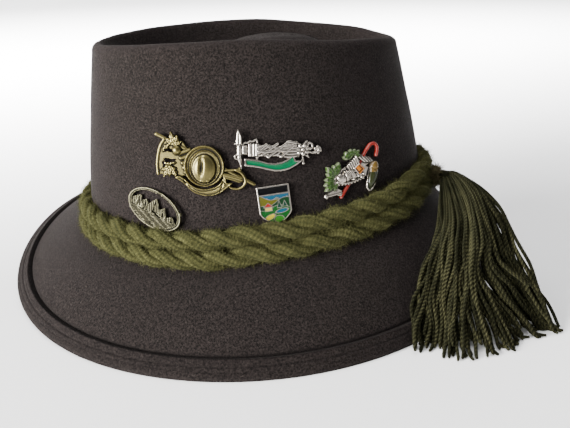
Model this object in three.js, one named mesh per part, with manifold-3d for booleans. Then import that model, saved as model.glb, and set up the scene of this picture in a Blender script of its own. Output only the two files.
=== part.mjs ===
// Tyrolean hat of dark felt: a crown with a dented top, a turned-down brim with a welt,
// two twisted wool ropes round the crown, a wool tassel and five metal pins.
// Millimetres, +Z up. The front of the hat is at -X, the wearer's left at -Y, and the
// edge of the brim lies on the plane z = 0, but for its right front, which is bent up. A turn is an angle round the crown: 0 at the
// front, 90 degrees at the wearer's left, 180 at the back.

import * as THREE from 'three';
import { mergeVertices } from 'three/addons/utils/BufferGeometryUtils.js';
import Module from 'manifold-3d';

const wasm = await Module();
wasm.setup();

// Clearance between pieces that touch
const clearance = 0.3;

// Brim: outer size of its edge, how high the edge is bent up at its highest place and how far
// it swings out for each millimetre of that, and the welt folded up along it
const brimLength = 286;
const brimWidth = 267.6;
const brimShift = -2.6;
const brimEgg = 0.01;
const brimSlope = 0.45;
const brimLift = 17;
const brimSwing = 0.3;
const weltWidth = 10.2;
const weltRise = 1.8;

// Crown: the foot where it meets the brim, with its height at front, side and back
const feltWall = 2;
const footLength = 200;
const footWidth = 178;
const footShift = 0.4;
const footFront = 32.5;
const footSide = 39;
const footBack = 41.5;
const crownEgg = 0.04;

// Crown: the ridge round its top, and the dent inside the ridge with a hump in its middle
const ridgeLength = 163.5;
const ridgeWidth = 116;
const ridgeShift = -1.3;
const ridgeFront = 133.7;
const ridgeSide = 137.5;
const ridgeBack = 128.9;
const ridgeRadius = 4;
const gutterDepth = 14;
const humpDrop = 5.5;
const humpShift = 20;

// Ropes: two stacked, each of two fat plies
const ropeHeight = 9;
const ropeDepth = 7;
const ropeSeat = 3.6;
const ropePitch = 31;
const ropeLobe = 0.12;

// Tassel: bound at its neck against the ropes, fanned out over the brim to the table
const tasselTurn = 147;
const bindingLength = 4.5;
const bindingDiameter = 9;
const neckDiameter = 6;
const tasselHead = 8;
const tasselReach = 91;
const tasselTip = 0.4;
const lockDiameter = 7;
const fanStartAngle = -127;
const fanEndAngle = -87;

// Pins: thickness of their plates, then the length of each and its own sizes
const pinPlate = 1.2;
const enamelDepth = 0.6;
const stickDiameter = 1.8;
const wireDiameter = 1.3;
const hatPinLength = 46;
const axePinLength = 38.5;
const bootPinLength = 37;
const trayBorder = 0.8;
const badgeLength = 31.5;
const badgeWidth = 18.8;
const badgeRim = 1.7;
const shieldWidth = 15.8;
const shieldHeight = 19.3;
const shieldHeader = 3;

// Place of each pin: its turn, the height of its middle over the ropes as a share of its
// length, and its tilt in degrees
const pinSeats = {
  hat: { turn: 62.9, above: 0.711, tilt: 0 },
  axe: { turn: 84.7, above: 0.886, tilt: -5 },
  badge: { turn: 45.6, above: 0.312, tilt: -21.9 },
  shield: { turn: 82.2, above: 0.473, tilt: 0 },
  boot: { turn: 107.9, above: 0.401, tilt: 0 },
};

const felt = new THREE.MeshStandardMaterial({ color: 0x3a3532, roughness: 0.95, metalness: 0 });
const wool = new THREE.MeshStandardMaterial({ color: 0x5f6030, roughness: 0.95, metalness: 0 });
const bindingWool = new THREE.MeshStandardMaterial({ color: 0x4f4a2c, roughness: 0.95, metalness: 0 });
const tasselWool = new THREE.MeshStandardMaterial({ color: 0x3f4423, roughness: 0.9, metalness: 0 });
const brass = new THREE.MeshStandardMaterial({ color: 0xa89a5c, roughness: 0.4, metalness: 1 });
const pewter = new THREE.MeshStandardMaterial({ color: 0x8f8a70, roughness: 0.5, metalness: 1 });
const silver = new THREE.MeshStandardMaterial({ color: 0xb8b4ac, roughness: 0.3, metalness: 1 });
const greenEnamel = new THREE.MeshStandardMaterial({ color: 0x0f9a62, roughness: 0.2, metalness: 0 });
const sceneEnamel = new THREE.MeshStandardMaterial({ color: 0x4aa84e, roughness: 0.2, metalness: 0 });
const blackEnamel = new THREE.MeshStandardMaterial({ color: 0x16161a, roughness: 0.2, metalness: 0 });

const radians = THREE.MathUtils.degToRad;
const up = new THREE.Vector3(0, 0, 1);
const hat = new THREE.Group();

function add(name, geometry, material, parent = hat) {
  const mesh = new THREE.Mesh(geometry, material);
  mesh.name = name;
  parent.add(mesh);
  return mesh;
}

// Closed skin through rows of points: a row is a ring of points, or one point at a pole.
// A wrapped skin joins its last row to its first.
function skin(rows, wrapped = false) {
  const positions = [];
  const starts = [];
  for (const row of rows) {
    starts.push(positions.length / 3);
    row.forEach((point) => positions.push(point.x, point.y, point.z));
  }
  const indices = [];
  const spans = wrapped ? rows.length : rows.length - 1;
  for (let i = 0; i < spans; i += 1) {
    const next = (i + 1) % rows.length;
    const count = Math.max(rows[i].length, rows[next].length);
    for (let j = 0; j < count; j += 1) {
      const a = starts[i] + (j % rows[i].length);
      const b = starts[i] + ((j + 1) % rows[i].length);
      const c = starts[next] + ((j + 1) % rows[next].length);
      const d = starts[next] + (j % rows[next].length);
      if (a !== b) indices.push(a, c, b);
      if (c !== d) indices.push(a, d, c);
    }
  }
  const geometry = new THREE.BufferGeometry();
  geometry.setAttribute('position', new THREE.Float32BufferAttribute(positions, 3));
  geometry.setIndex(indices);
  geometry.computeVertexNormals();
  return geometry;
}

function toManifold(geometry) {
  const bare = geometry.clone();
  bare.deleteAttribute('normal');
  bare.deleteAttribute('uv');
  const merged = mergeVertices(bare, 1e-4);
  return new wasm.Manifold(new wasm.Mesh({
    numProp: 3,
    vertProperties: Float32Array.from(merged.attributes.position.array),
    triVerts: Uint32Array.from(merged.index.array),
  }));
}

function toGeometry(manifold) {
  const mesh = manifold.getMesh();
  const geometry = new THREE.BufferGeometry();
  geometry.setAttribute('position', new THREE.Float32BufferAttribute(mesh.vertProperties, 3));
  geometry.setIndex(Array.from(mesh.triVerts));
  geometry.computeVertexNormals();
  return geometry;
}

function fuse(geometries) {
  return geometries.map(toManifold).reduce((sum, next) => sum.add(next));
}

// Loops round the hat: an egg in plan, with a height that runs from front through side to back
const capRadius = (feltWall + weltRise) / 2;
const edgeLoop = {
  length: brimLength - 2 * capRadius,
  width: brimWidth - 2 * capRadius,
  shift: brimShift,
  egg: brimEgg,
  front: 0.6 * capRadius,
  side: 0.6 * capRadius,
  back: 0.6 * capRadius,
};
const footLoop = {
  length: footLength,
  width: footWidth,
  shift: footShift,
  egg: crownEgg,
  front: footFront,
  side: footSide,
  back: footBack,
};
const ridgeLoop = {
  length: ridgeLength,
  width: ridgeWidth,
  shift: ridgeShift,
  egg: crownEgg,
  front: ridgeFront,
  side: ridgeSide,
  back: ridgeBack,
};

function loopPoint(loop, turn, grow = 0, lift = 0) {
  const mean = (loop.front + loop.back + 2 * loop.side) / 4;
  const lean = (loop.front - loop.back) / 2;
  const sag = (loop.front + loop.back - 2 * loop.side) / 4;
  return new THREE.Vector3(
    loop.shift - (loop.length / 2 + grow) * Math.cos(turn),
    -(loop.width / 2 + grow) * Math.sin(turn) * (1 - loop.egg * Math.cos(turn)),
    mean + lean * Math.cos(turn) + sag * Math.cos(2 * turn) + lift,
  );
}

// Waves of a loop's height: where, how wide in degrees, and how high as a share of the
// gutter's depth for the ridge, of the foot's height for the foot, or of the brim's lift
// for the edge
const ridgeWaves = [
  { turn: 112, spread: 22, height: -0.13 },
  { turn: 206, spread: 22, height: 0.12 },
  { turn: 296, spread: 30, height: -0.06 },
];
const edgeWaves = [
  { turn: 310, spread: 45, height: 1 },
];
const footWaves = [
  { turn: 55, spread: 26, height: -0.067 },
  { turn: 140, spread: 32, height: 0.13 },
];

function waveAt(waves, turn) {
  return waves.reduce((sum, wave) => {
    const away = Math.atan2(Math.sin(turn - radians(wave.turn)), Math.cos(turn - radians(wave.turn)));
    return sum + wave.height * Math.exp(-((away / radians(wave.spread)) ** 2));
  }, 0);
}

function footPoint(turn) {
  return loopPoint(footLoop, turn, 0, footSide * waveAt(footWaves, turn));
}

function edgePoint(turn) {
  const lift = brimLift * waveAt(edgeWaves, turn);
  return loopPoint(edgeLoop, turn, brimSwing * lift, lift);
}

// Ridge roll: angle 0 is its outer side, 90 degrees its top, past that its inner side
function ridgePoint(turn, angle) {
  const grow = ridgeRadius * Math.cos(radians(angle));
  const lift = ridgeRadius * (Math.sin(radians(angle)) - 1);
  return loopPoint(ridgeLoop, turn, grow, lift + gutterDepth * waveAt(ridgeWaves, turn));
}

const ridgeInside = 145;

// Crown top: reach runs from 0 at the hump's middle to 1 at the inner side of the ridge
const topRows = [
  { reach: 0.24, sink: 0.05, inner: false },
  { reach: 0.4, sink: 0.32, inner: true },
  { reach: 0.55, sink: 0.78, inner: false },
  { reach: 0.68, sink: 1, inner: true },
  { reach: 0.8, sink: 0.93, inner: false },
  { reach: 0.91, sink: 0.6, inner: true },
];
const humpTop = new THREE.Vector3(humpShift, 0, ridgeSide - humpDrop);

function topPoint(turn, reach, sink) {
  const point = humpTop.clone().lerp(ridgePoint(turn, ridgeInside), reach);
  point.z -= gutterDepth * sink;
  return point;
}

function wallPoint(turn, share) {
  return footPoint(turn).lerp(ridgePoint(turn, 0), share);
}

// Brim: out runs from 0 at the foot to 1 at the edge, and its slope steepens on the way
function brimPoint(turn, out) {
  const foot = footPoint(turn);
  const edge = edgePoint(turn);
  const point = foot.clone().lerp(edge, out);
  point.z = foot.z + (edge.z - foot.z) * out * (brimSlope + (1 - brimSlope) * out);
  return point;
}

function weltShare(turn) {
  return (weltWidth - capRadius) / footPoint(turn).distanceTo(edgePoint(turn));
}

// Felt rows from the hump to the edge: a point on the middle surface, how far the outer
// skin lifts off it, and whether the inner skin has a row there too
const weltStep = 0.05;
const feltRows = [
  { at: () => humpTop, lift: 0, inner: true, pole: true },
  ...topRows.map((row) => ({ at: (turn) => topPoint(turn, row.reach, row.sink), lift: 0, inner: row.inner })),
  ...[ridgeInside, 90, 45, 0].map((angle) => ({ at: (turn) => ridgePoint(turn, angle), lift: 0, inner: angle !== 45 })),
  ...[0.8, 0.55, 0.3, 0.1].map((share, i) => ({ at: (turn) => wallPoint(turn, share), lift: 0, inner: i % 2 === 1 })),
  { at: (turn) => wallPoint(turn, 0), lift: 0, inner: true },
  ...[0.15, 0.45, 0.75, 1].map((share, i) => ({
    at: (turn) => brimPoint(turn, share * (1 - weltShare(turn))), lift: 0, inner: i === 1,
  })),
  ...[weltStep, 0.5, 0.92].map((share, i) => ({
    at: (turn) => brimPoint(turn, 1 - weltShare(turn) * (1 - share)), lift: weltRise, inner: i === 0,
  })),
  { at: (turn) => brimPoint(turn, 1), lift: weltRise, inner: true },
];
const feltColumns = 48;

function feltGeometry() {
  const turns = Array.from({ length: feltColumns }, (_, j) => (2 * Math.PI * j) / feltColumns);
  const middle = feltRows.map((row) => turns.map((turn) => row.at(turn)));
  const normalAt = (i, j) => {
    if (feltRows[i].pole) return up.clone();
    const before = middle[Math.max(i - 1, 0)][j];
    const after = middle[Math.min(i + 1, middle.length - 1)][j];
    const left = middle[i][(j + feltColumns - 1) % feltColumns];
    const right = middle[i][(j + 1) % feltColumns];
    return after.clone().sub(before).cross(right.clone().sub(left)).normalize();
  };
  const offset = (i, distance) => {
    const row = turns.map((_, j) => middle[i][j].clone().addScaledVector(normalAt(i, j), distance));
    row.forEach((point) => { point.z = Math.max(point.z, 0); });
    return feltRows[i].pole ? [row[0]] : row;
  };
  const outer = feltRows.map((row, i) => offset(i, row.lift));
  const inner = feltRows.map((row, i) => (row.inner ? offset(i, -feltWall) : null)).filter(Boolean);
  const last = feltRows.length - 1;
  const cap = [45, 90, 135].map((angle) => turns.map((_, j) => {
    const normal = normalAt(last, j);
    const outward = middle[last][j].clone().sub(middle[last - 1][j]).normalize();
    const point = middle[last][j].clone().addScaledVector(normal, (weltRise - feltWall) / 2);
    point.addScaledVector(normal, capRadius * Math.cos(radians(angle)));
    point.addScaledVector(outward, capRadius * Math.sin(radians(angle)));
    point.z = Math.max(point.z, 0);
    return point;
  }));
  return skin([...outer, ...cap, ...inner.reverse()]);
}

add('felt_body', feltGeometry(), felt);

// Frame on the crown wall: along runs towards the back on the wearer's left, rise up the
// wall and out away from it
function wallFrame(turn, share) {
  const small = 0.001;
  const along = wallPoint(turn + small, share).sub(wallPoint(turn - small, share)).normalize();
  const rise = wallPoint(turn, 1).sub(wallPoint(turn, 0)).normalize();
  const out = along.clone().cross(rise).normalize();
  return { point: wallPoint(turn, share), along, rise: out.clone().cross(along), out };
}

function ropeCentre(turn, level) {
  const frame = wallFrame(turn, 0);
  const point = frame.point.addScaledVector(frame.rise, ropeSeat + level * (ropeHeight + clearance));
  return { ...frame, point: point.addScaledVector(frame.out, ropeDepth / 2 + clearance) };
}

// Twisted rope: a section with two lobes, turned as it runs round the crown and pressed
// a little flat against it
function ropeGeometry(level) {
  const girth = Math.PI * (footLength + footWidth) / 2;
  const twists = Math.max(4, Math.round(girth / ropePitch));
  const stations = twists * 6;
  const sides = 8;
  const rows = [];
  for (let i = 0; i < stations; i += 1) {
    const turn = (2 * Math.PI * i) / stations;
    const frame = ropeCentre(turn, level);
    const twist = -(2 * Math.PI * twists * i) / stations;
    const row = [];
    for (let j = 0; j < sides; j += 1) {
      const angle = (2 * Math.PI * j) / sides;
      const radius = (1 - ropeLobe + ropeLobe * Math.cos(2 * angle)) / 2;
      const point = frame.point.clone();
      point.addScaledVector(frame.out, ropeDepth * radius * Math.cos(angle + twist));
      point.addScaledVector(frame.rise, ropeHeight * radius * Math.sin(angle + twist));
      row.push(point);
    }
    rows.push(row);
  }
  return skin(rows, true);
}

add('rope_lower', ropeGeometry(0), wool);
add('rope_upper', ropeGeometry(1), wool);

// Neck of the tassel: it starts off the ropes and points away from the crown
const neckFrame = ropeCentre(radians(tasselTurn), 0.5);
const neckOut = neckFrame.out.clone().setZ(0).normalize();
const neckStart = neckFrame.point.clone().addScaledVector(neckOut, ropeDepth / 2 + clearance);

function aimed(geometry, start, direction) {
  const turn = new THREE.Quaternion().setFromUnitVectors(new THREE.Vector3(0, 1, 0), direction);
  geometry.applyQuaternion(turn);
  geometry.translate(start.x, start.y, start.z);
  return geometry;
}

function bindingGeometry() {
  const inner = neckDiameter / 2 + clearance;
  const outer = bindingDiameter / 2;
  const profile = [
    [inner, 0],
    [outer * 0.85, 0],
    [outer, bindingLength * 0.25],
    [outer, bindingLength * 0.75],
    [outer * 0.85, bindingLength],
    [inner, bindingLength],
    [inner, 0],
  ].map(([x, y]) => new THREE.Vector2(x, y));
  return aimed(new THREE.LatheGeometry(profile, 12), neckStart, neckOut);
}

add('tassel_binding', bindingGeometry(), bindingWool);

// Locks of the tassel: side is the place in the fan, reach the landing distance as a share
// of the tassel's, lift how high the lock bows as a share of the neck's height, and thick
// its share of the lock diameter
const locks = [
  { side: 0, reach: 0.87, lift: -0.06, thick: 0.9 },
  { side: 0.13, reach: 0.91, lift: 0, thick: 1 },
  { side: 0.27, reach: 0.95, lift: 0.06, thick: 1 },
  { side: 0.41, reach: 0.99, lift: 0.1, thick: 1.05 },
  { side: 0.55, reach: 1, lift: 0.12, thick: 1.05 },
  { side: 0.7, reach: 1, lift: 0.15, thick: 1 },
  { side: 0.85, reach: 1, lift: 0.17, thick: 1 },
  { side: 1, reach: 0.98, lift: 0.19, thick: 0.9 },
  { side: 0.3, reach: 0.82, lift: -0.14, thick: 1.1 },
  { side: 0.55, reach: 0.84, lift: -0.12, thick: 1.1 },
  { side: 0.8, reach: 0.84, lift: -0.1, thick: 1.1 },
];
const lockStart = neckStart.clone().addScaledVector(neckOut, bindingLength + clearance + tasselHead * 0.3);

// Height of what lies under a point of the tassel: the brim, and past its edge the table
function restHeight(point, margin) {
  const turn = Math.atan2(-point.y / edgeLoop.width, -(point.x - edgeLoop.shift) / edgeLoop.length);
  const foot = footPoint(turn).setZ(0);
  const span = edgePoint(turn).setZ(0).sub(foot);
  const out = point.clone().setZ(0).sub(foot).dot(span) / span.lengthSq();
  if (out * span.length() > span.length() + capRadius + margin) return tasselTip;
  return brimPoint(turn, THREE.MathUtils.clamp(out, 0, 1)).z + 2 * weltRise + clearance;
}

function lockCurve(lock) {
  const angle = radians(THREE.MathUtils.lerp(fanStartAngle, fanEndAngle, lock.side));
  const away = new THREE.Vector3(Math.cos(angle), Math.sin(angle), 0);
  const end = lockStart.clone().addScaledVector(away, tasselReach * lock.reach).setZ(tasselTip);
  const first = lockStart.clone();
  first.addScaledVector(neckOut, tasselReach * (0.03 + 0.04 * lock.side));
  first.addScaledVector(away, tasselReach * (0.06 + 0.1 * lock.side));
  first.z += lockStart.z * lock.lift;
  const second = end.clone().addScaledVector(away, -tasselReach * 0.14);
  second.z = lockStart.z * (0.6 + lock.lift);
  return new THREE.CubicBezierCurve3(lockStart, first, second, end);
}

// Sections along a lock: share of its length, and width as a share of its radius
const lockSections = [
  { share: 0.1, width: 0.7 },
  { share: 0.3, width: 0.9 },
  { share: 0.5, width: 1 },
  { share: 0.7, width: 1.05 },
  { share: 0.86, width: 1 },
  { share: 0.98, width: 0.75 },
];

function lockGeometry(lock) {
  const curve = lockCurve(lock);
  const rows = [[curve.getPointAt(0)]];
  let tip = curve.getPointAt(1);
  for (const section of lockSections) {
    const radius = (lockDiameter * lock.thick * section.width) / 2;
    const centre = curve.getPointAt(section.share);
    const tangent = curve.getTangentAt(section.share);
    const side = tangent.clone().cross(up).normalize();
    const over = side.clone().cross(tangent);
    centre.z = Math.max(centre.z, restHeight(centre, radius) + radius * Math.abs(over.z));
    const row = [];
    for (let j = 0; j < 6; j += 1) {
      const angle = (Math.PI * j) / 3;
      const point = centre.clone().addScaledVector(side, radius * Math.cos(angle));
      point.addScaledVector(over, radius * Math.sin(angle));
      point.z = Math.max(point.z, tasselTip);
      row.push(point);
    }
    rows.push(row);
    tip = centre.clone().addScaledVector(tangent, radius * 0.5);
  }
  tip.z = Math.max(tip.z, tasselTip);
  rows.push([tip]);
  return skin(rows);
}

function tasselGeometry() {
  const neckLength = bindingLength + 2 * clearance + tasselHead * 0.3;
  const neck = new THREE.CylinderGeometry(neckDiameter / 2, neckDiameter / 2, neckLength, 12);
  neck.translate(0, neckLength / 2, 0);
  const head = new THREE.SphereGeometry(tasselHead / 2, 10, 6);
  head.translate(0, bindingLength + clearance + tasselHead * 0.48, 0);
  return toGeometry(fuse([
    aimed(neck, neckStart, neckOut),
    aimed(head, neckStart, neckOut),
    ...locks.map(lockGeometry),
  ]));
}

add('tassel', tasselGeometry(), tasselWool);

// Group that lies on the crown wall: x along it, y up it and z out of it
function pinGroup(seat, length) {
  const turn = radians(seat.turn);
  const ropeTop = ropeSeat + 1.5 * ropeHeight + clearance;
  const wallHeight = wallPoint(turn, 1).distanceTo(wallPoint(turn, 0));
  const frame = wallFrame(turn, (ropeTop + seat.above * length) / wallHeight);
  const group = new THREE.Group();
  group.quaternion.setFromRotationMatrix(new THREE.Matrix4().makeBasis(frame.along, frame.rise, frame.out));
  group.position.copy(frame.point).addScaledVector(frame.out, clearance);
  group.rotateZ(radians(seat.tilt));
  hat.add(group);
  return group;
}

// Outline moved inwards by a distance, corner by corner
function inset(outline, distance) {
  const corners = outline.map(([x, y]) => new THREE.Vector2(x, y));
  const turning = Math.sign(THREE.ShapeUtils.area(corners));
  return corners.map((corner, k) => {
    const before = corner.clone().sub(corners.at(k - 1)).normalize();
    const after = corners[(k + 1) % corners.length].clone().sub(corner).normalize();
    const normal = new THREE.Vector2(-before.y - after.y, before.x + after.x);
    const moved = corner.clone().addScaledVector(normal, (turning * distance) / (1 + before.dot(after)));
    return [moved.x, moved.y];
  });
}

// Flat piece from an outline of x and y pairs, each a share of the pin's length
function plate(outline, length, depth, from = 0, holes = []) {
  const sized = (points) => points.map(([x, y]) => new THREE.Vector2(x * length, y * length));
  const shape = new THREE.Shape(sized(outline));
  shape.holes = holes.map((hole) => new THREE.Path(sized(hole)));
  const geometry = new THREE.ExtrudeGeometry(shape, { depth, bevelEnabled: false });
  return geometry.translate(0, 0, from);
}

// Round bar between two places, each x and y as shares of the pin's length
function bar(start, end, length, diameter, height) {
  const from = new THREE.Vector3(start[0] * length, start[1] * length, height);
  const to = new THREE.Vector3(end[0] * length, end[1] * length, height);
  const geometry = new THREE.CylinderGeometry(diameter / 2, diameter / 2, from.distanceTo(to), 6);
  geometry.translate(0, from.distanceTo(to) / 2, 0);
  return aimed(geometry, from, to.sub(from).normalize());
}

// Wire bent through places given as shares of the pin's length
function wire(places, length, diameter, height) {
  const curve = new THREE.CatmullRomCurve3(places.map(([x, y]) => new THREE.Vector3(x * length, y * length, height)));
  const section = new THREE.Shape(ellipse(diameter / 2, diameter / 2, 6).map(([x, y]) => new THREE.Vector2(x, y)));
  return new THREE.ExtrudeGeometry(section, { steps: places.length + 2, bevelEnabled: false, extrudePath: curve });
}

// Rounded lump: its centre and half sizes as shares of the pin's length, and its rise
function lump(x, y, halfX, halfY, length, height, rise) {
  const geometry = new THREE.SphereGeometry(1, 8, 4);
  geometry.rotateX(Math.PI / 2);
  geometry.scale(halfX * length, halfY * length, rise);
  return geometry.translate(x * length, y * length, height);
}

function ellipse(halfX, halfY, count, from = 0, to = 360) {
  const spans = to - from === 360 ? count : count - 1;
  return Array.from({ length: count }, (_, k) => {
    const angle = radians(from + ((to - from) * k) / spans);
    return [halfX * Math.cos(angle), halfY * Math.sin(angle)];
  });
}

// Flower: an outline that runs out along each petal and in between them
function flower(x, y, radius, petals) {
  return Array.from({ length: 2 * petals }, (_, k) => {
    const reach = radius * (k % 2 === 0 ? 1 : 0.5);
    const angle = (Math.PI * k) / petals;
    return [x + reach * Math.cos(angle), y + reach * Math.sin(angle)];
  });
}

// Nothing of a pin reaches behind its own back
function flatBacked(manifold, length) {
  const slab = new THREE.BoxGeometry(3 * length, 3 * length, length);
  return manifold.intersect(toManifold(slab.translate(0, 0, length / 2)));
}

// Brass pin: a small round-brimmed hat on a pierced plate with leaves, a walking stick
// behind it, a plain banner under it and a hook at its end
function hatPin() {
  const length = hatPinLength;
  const backing = [[-0.41, 0.28], [-0.47, 0.19], [-0.495, 0.1], [-0.51, 0], [-0.505, -0.08], [-0.36, -0.11],
    [-0.2, -0.12], [-0.12, -0.02], [-0.15, 0.13], [-0.21, 0.24], [-0.3, 0.28]];
  const gaps = [
    [[-0.42, 0.14], [-0.4, 0.18], [-0.34, 0.16], [-0.31, 0.12], [-0.37, 0.11]],
    [[-0.45, 0.02], [-0.44, 0.06], [-0.4, 0.08], [-0.3, 0.04], [-0.33, 0.01], [-0.4, 0.03], [-0.44, -0.03]],
  ];
  const upperLeaf = [[-0.4, 0.27], [-0.35, 0.31], [-0.32, 0.345], [-0.29, 0.31], [-0.24, 0.295], [-0.22, 0.22], [-0.32, 0.2]];
  const lowerLeaf = [[-0.465, -0.04], [-0.4, 0.01], [-0.32, 0.02], [-0.29, -0.03], [-0.3, -0.12], [-0.37, -0.1], [-0.44, -0.125]];
  const banner = [[-0.325, -0.135], [-0.24, -0.19], [-0.14, -0.295], [-0.02, -0.341], [0.08, -0.34], [0.156, -0.312],
    [0.285, -0.224], [0.228, -0.216], [0.211, -0.157], [0.13, -0.235], [0.04, -0.262], [-0.05, -0.262],
    [-0.14, -0.225], [-0.22, -0.15], [-0.28, -0.115]];
  const bridge = [[-0.12, -0.2], [-0.12, -0.27], [0.12, -0.27], [0.12, -0.2]];
  const brim = plate(ellipse(0.213, 0.213, 18), length, pinPlate * 0.8, pinPlate * 0.7);
  brim.translate(0, -0.03 * length, 0);
  const solid = fuse([
    plate(backing, length, pinPlate, 0, gaps),
    plate(upperLeaf, length, pinPlate * 1.6),
    plate(lowerLeaf, length, pinPlate * 1.6),
    plate(banner, length, pinPlate * 1.9),
    plate(bridge, length, pinPlate),
    lump(-0.276, 0.15, 0.055, 0.055, length, pinPlate, pinPlate * 1.6),
    brim,
    lump(0, -0.06, 0.13, 0.155, length, pinPlate * 1.3, pinPlate * 2.6),
    bar([-0.485, 0.329], [0.5, -0.245], length, stickDiameter, stickDiameter / 2),
    bar([0.15, -0.085], [0.33, -0.09], length, wireDiameter, pinPlate),
    bar([0.15, -0.12], [0.4, -0.2], length, stickDiameter, pinPlate),
    wire([[0.31, -0.09], [0.375, -0.145], [0.415, -0.21], [0.33, -0.284], [0.256, -0.264]], length, wireDiameter, pinPlate),
  ]);
  const crease = lump(-0.02, -0.05, 0.028, 0.09, length, pinPlate * 3.6, pinPlate);
  const group = pinGroup(pinSeats.hat, length);
  add('pin_brass_hat', toGeometry(flatBacked(solid.subtract(toManifold(crease)), length)), brass, group);
}

// Silver pin: an ice axe lying along it with a rope bundled round its shaft, a flower at
// its end and an enamelled ribbon below
function axePin() {
  const length = axePinLength;
  const shaft = [
    { at: -0.47, radius: 0.03 },
    { at: -0.44, radius: 0.055 },
    { at: -0.37, radius: 0.06 },
    { at: -0.35, radius: 0.045 },
    { at: -0.33, radius: 0.068 },
    { at: -0.29, radius: 0.068 },
    { at: -0.24, radius: 0.074 },
    { at: -0.1, radius: 0.08 },
    { at: 0.1, radius: 0.1 },
    { at: 0.22, radius: 0.09 },
    { at: 0.4, radius: 0.03 },
    { at: 0.5, radius: 0.02 },
  ];
  const profile = shaft.map(({ at, radius }) => new THREE.Vector2(radius * length, at * length));
  profile.unshift(new THREE.Vector2(0, shaft[0].at * length));
  profile.push(new THREE.Vector2(0, shaft.at(-1).at * length));
  const body = new THREE.LatheGeometry(profile, 8);
  body.rotateZ(-Math.PI / 2);
  body.scale(1, 1, 0.6);
  body.translate(0, 0, pinPlate);
  const head = [[-0.49, 0.266], [-0.47, 0.266], [-0.438, 0.15], [-0.44, 0.06], [-0.455, 0], [-0.445, -0.08],
    [-0.455, -0.225], [-0.468, -0.225], [-0.5, -0.08], [-0.49, 0], [-0.51, 0.07], [-0.508, 0.15]];
  const ribbon = [[-0.416, -0.095], [-0.22, -0.125], [-0.03, -0.162], [0.1, -0.13], [0.195, -0.055], [0.225, -0.135],
    [0.313, -0.134], [0.2, -0.212], [0.09, -0.255], [-0.03, -0.265], [-0.22, -0.218], [-0.412, -0.188]];
  const ribbonDepth = pinPlate * 1.4;
  const recess = plate(inset(ribbon, trayBorder / length), length, pinPlate, ribbonDepth - enamelDepth);
  const solid = fuse([
    body,
    plate(head, length, pinPlate * 1.6),
    plate(flower(0.31, -0.01, 0.12, 6), length, pinPlate * 2.2),
    plate(flower(0.49, -0.02, 0.058, 5), length, pinPlate * 1.5),
    bar([-0.26, -0.14], [-0.25, 0], length, wireDiameter, pinPlate * 0.6),
    plate(ribbon, length, ribbonDepth),
  ]).subtract(toManifold(recess));
  const group = pinGroup(pinSeats.axe, length);
  add('pin_ice_axe', toGeometry(flatBacked(solid, length)), silver, group);
  const filling = inset(ribbon, (trayBorder + clearance) / length);
  const enamel = plate(filling, length, enamelDepth - clearance, ribbonDepth - enamelDepth + clearance);
  add('pin_ice_axe_ribbon', enamel, greenEnamel, group);
}

// Oval badge: a rim round a pierced sky over mountains and hills, with two nubs on the rim
function badgePin() {
  const halfX = badgeLength / 2;
  const halfY = badgeWidth / 2;
  const innerX = halfX - badgeRim;
  const innerY = halfY - badgeRim;
  const inside = (points) => points.map(([x, y]) => [x * innerX, y * innerY]);
  const skyline = [[-0.97, -0.16], [-0.74, 0.1], [-0.62, 0.34], [-0.5, 0.05], [-0.42, 0.3], [-0.3, 0.1], [-0.05, 0.62],
    [0.2, 0.1], [0.4, 0.35], [0.6, -0.05], [0.78, 0.1], [0.97, -0.16]];
  const sky = inside([...ellipse(1, 1, 11, 0, 180), ...skyline]);
  const valley = inside([[0.05, -0.2], [0.45, -0.16], [0.7, -0.34], [0.2, -0.4]]);
  const field = ellipse(innerX + badgeRim / 2, innerY + badgeRim / 2, 20);
  const nubs = [27, 214].map((angle) => {
    const nub = new THREE.SphereGeometry(pinPlate * 0.75, 6, 4);
    return nub.translate(halfX * Math.cos(radians(angle)), halfY * Math.sin(radians(angle)), pinPlate / 2);
  });
  const solid = fuse([
    plate(ellipse(halfX, halfY, 20), 1, pinPlate, 0, [ellipse(innerX, innerY, 20)]),
    plate(field, 1, pinPlate * 0.75, 0, [sky, valley]),
    ...nubs,
  ]);
  add('pin_badge', toGeometry(flatBacked(solid, badgeLength)), pewter, pinGroup(pinSeats.badge, badgeLength));
}

// Shield: a silver tray with an enamelled header above an enamelled landscape
function shieldPin() {
  const half = shieldWidth / 2;
  const top = shieldHeight * 0.45;
  const split = top - trayBorder - shieldHeader;
  const header = [[-half, split], [half, split], [half, top], [-half, top]];
  const field = [[-half, split], [-half, -0.23 * shieldHeight], [-0.62 * half, -0.42 * shieldHeight],
    [0, -0.55 * shieldHeight], [0.62 * half, -0.42 * shieldHeight], [half, -0.23 * shieldHeight], [half, split]];
  const outline = [...field, [half, top], [-half, top]];
  const depth = pinPlate * 1.3;
  const headerTray = header.map(([x, y]) => [x, y === split ? y - trayBorder : y]);
  const well = (shape) => toManifold(plate(inset(shape, trayBorder), 1, depth, depth - enamelDepth));
  const filling = (shape) => plate(inset(shape, trayBorder + clearance), 1, enamelDepth - clearance, depth - enamelDepth + clearance);
  const tray = toManifold(plate(outline, 1, depth)).subtract(well(headerTray)).subtract(well(field));
  const group = pinGroup(pinSeats.shield, shieldHeight);
  add('pin_shield', toGeometry(tray), silver, group);
  add('pin_shield_header', filling(headerTray), blackEnamel, group);
  add('pin_shield_scene', filling(field), sceneEnamel, group);
}

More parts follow.
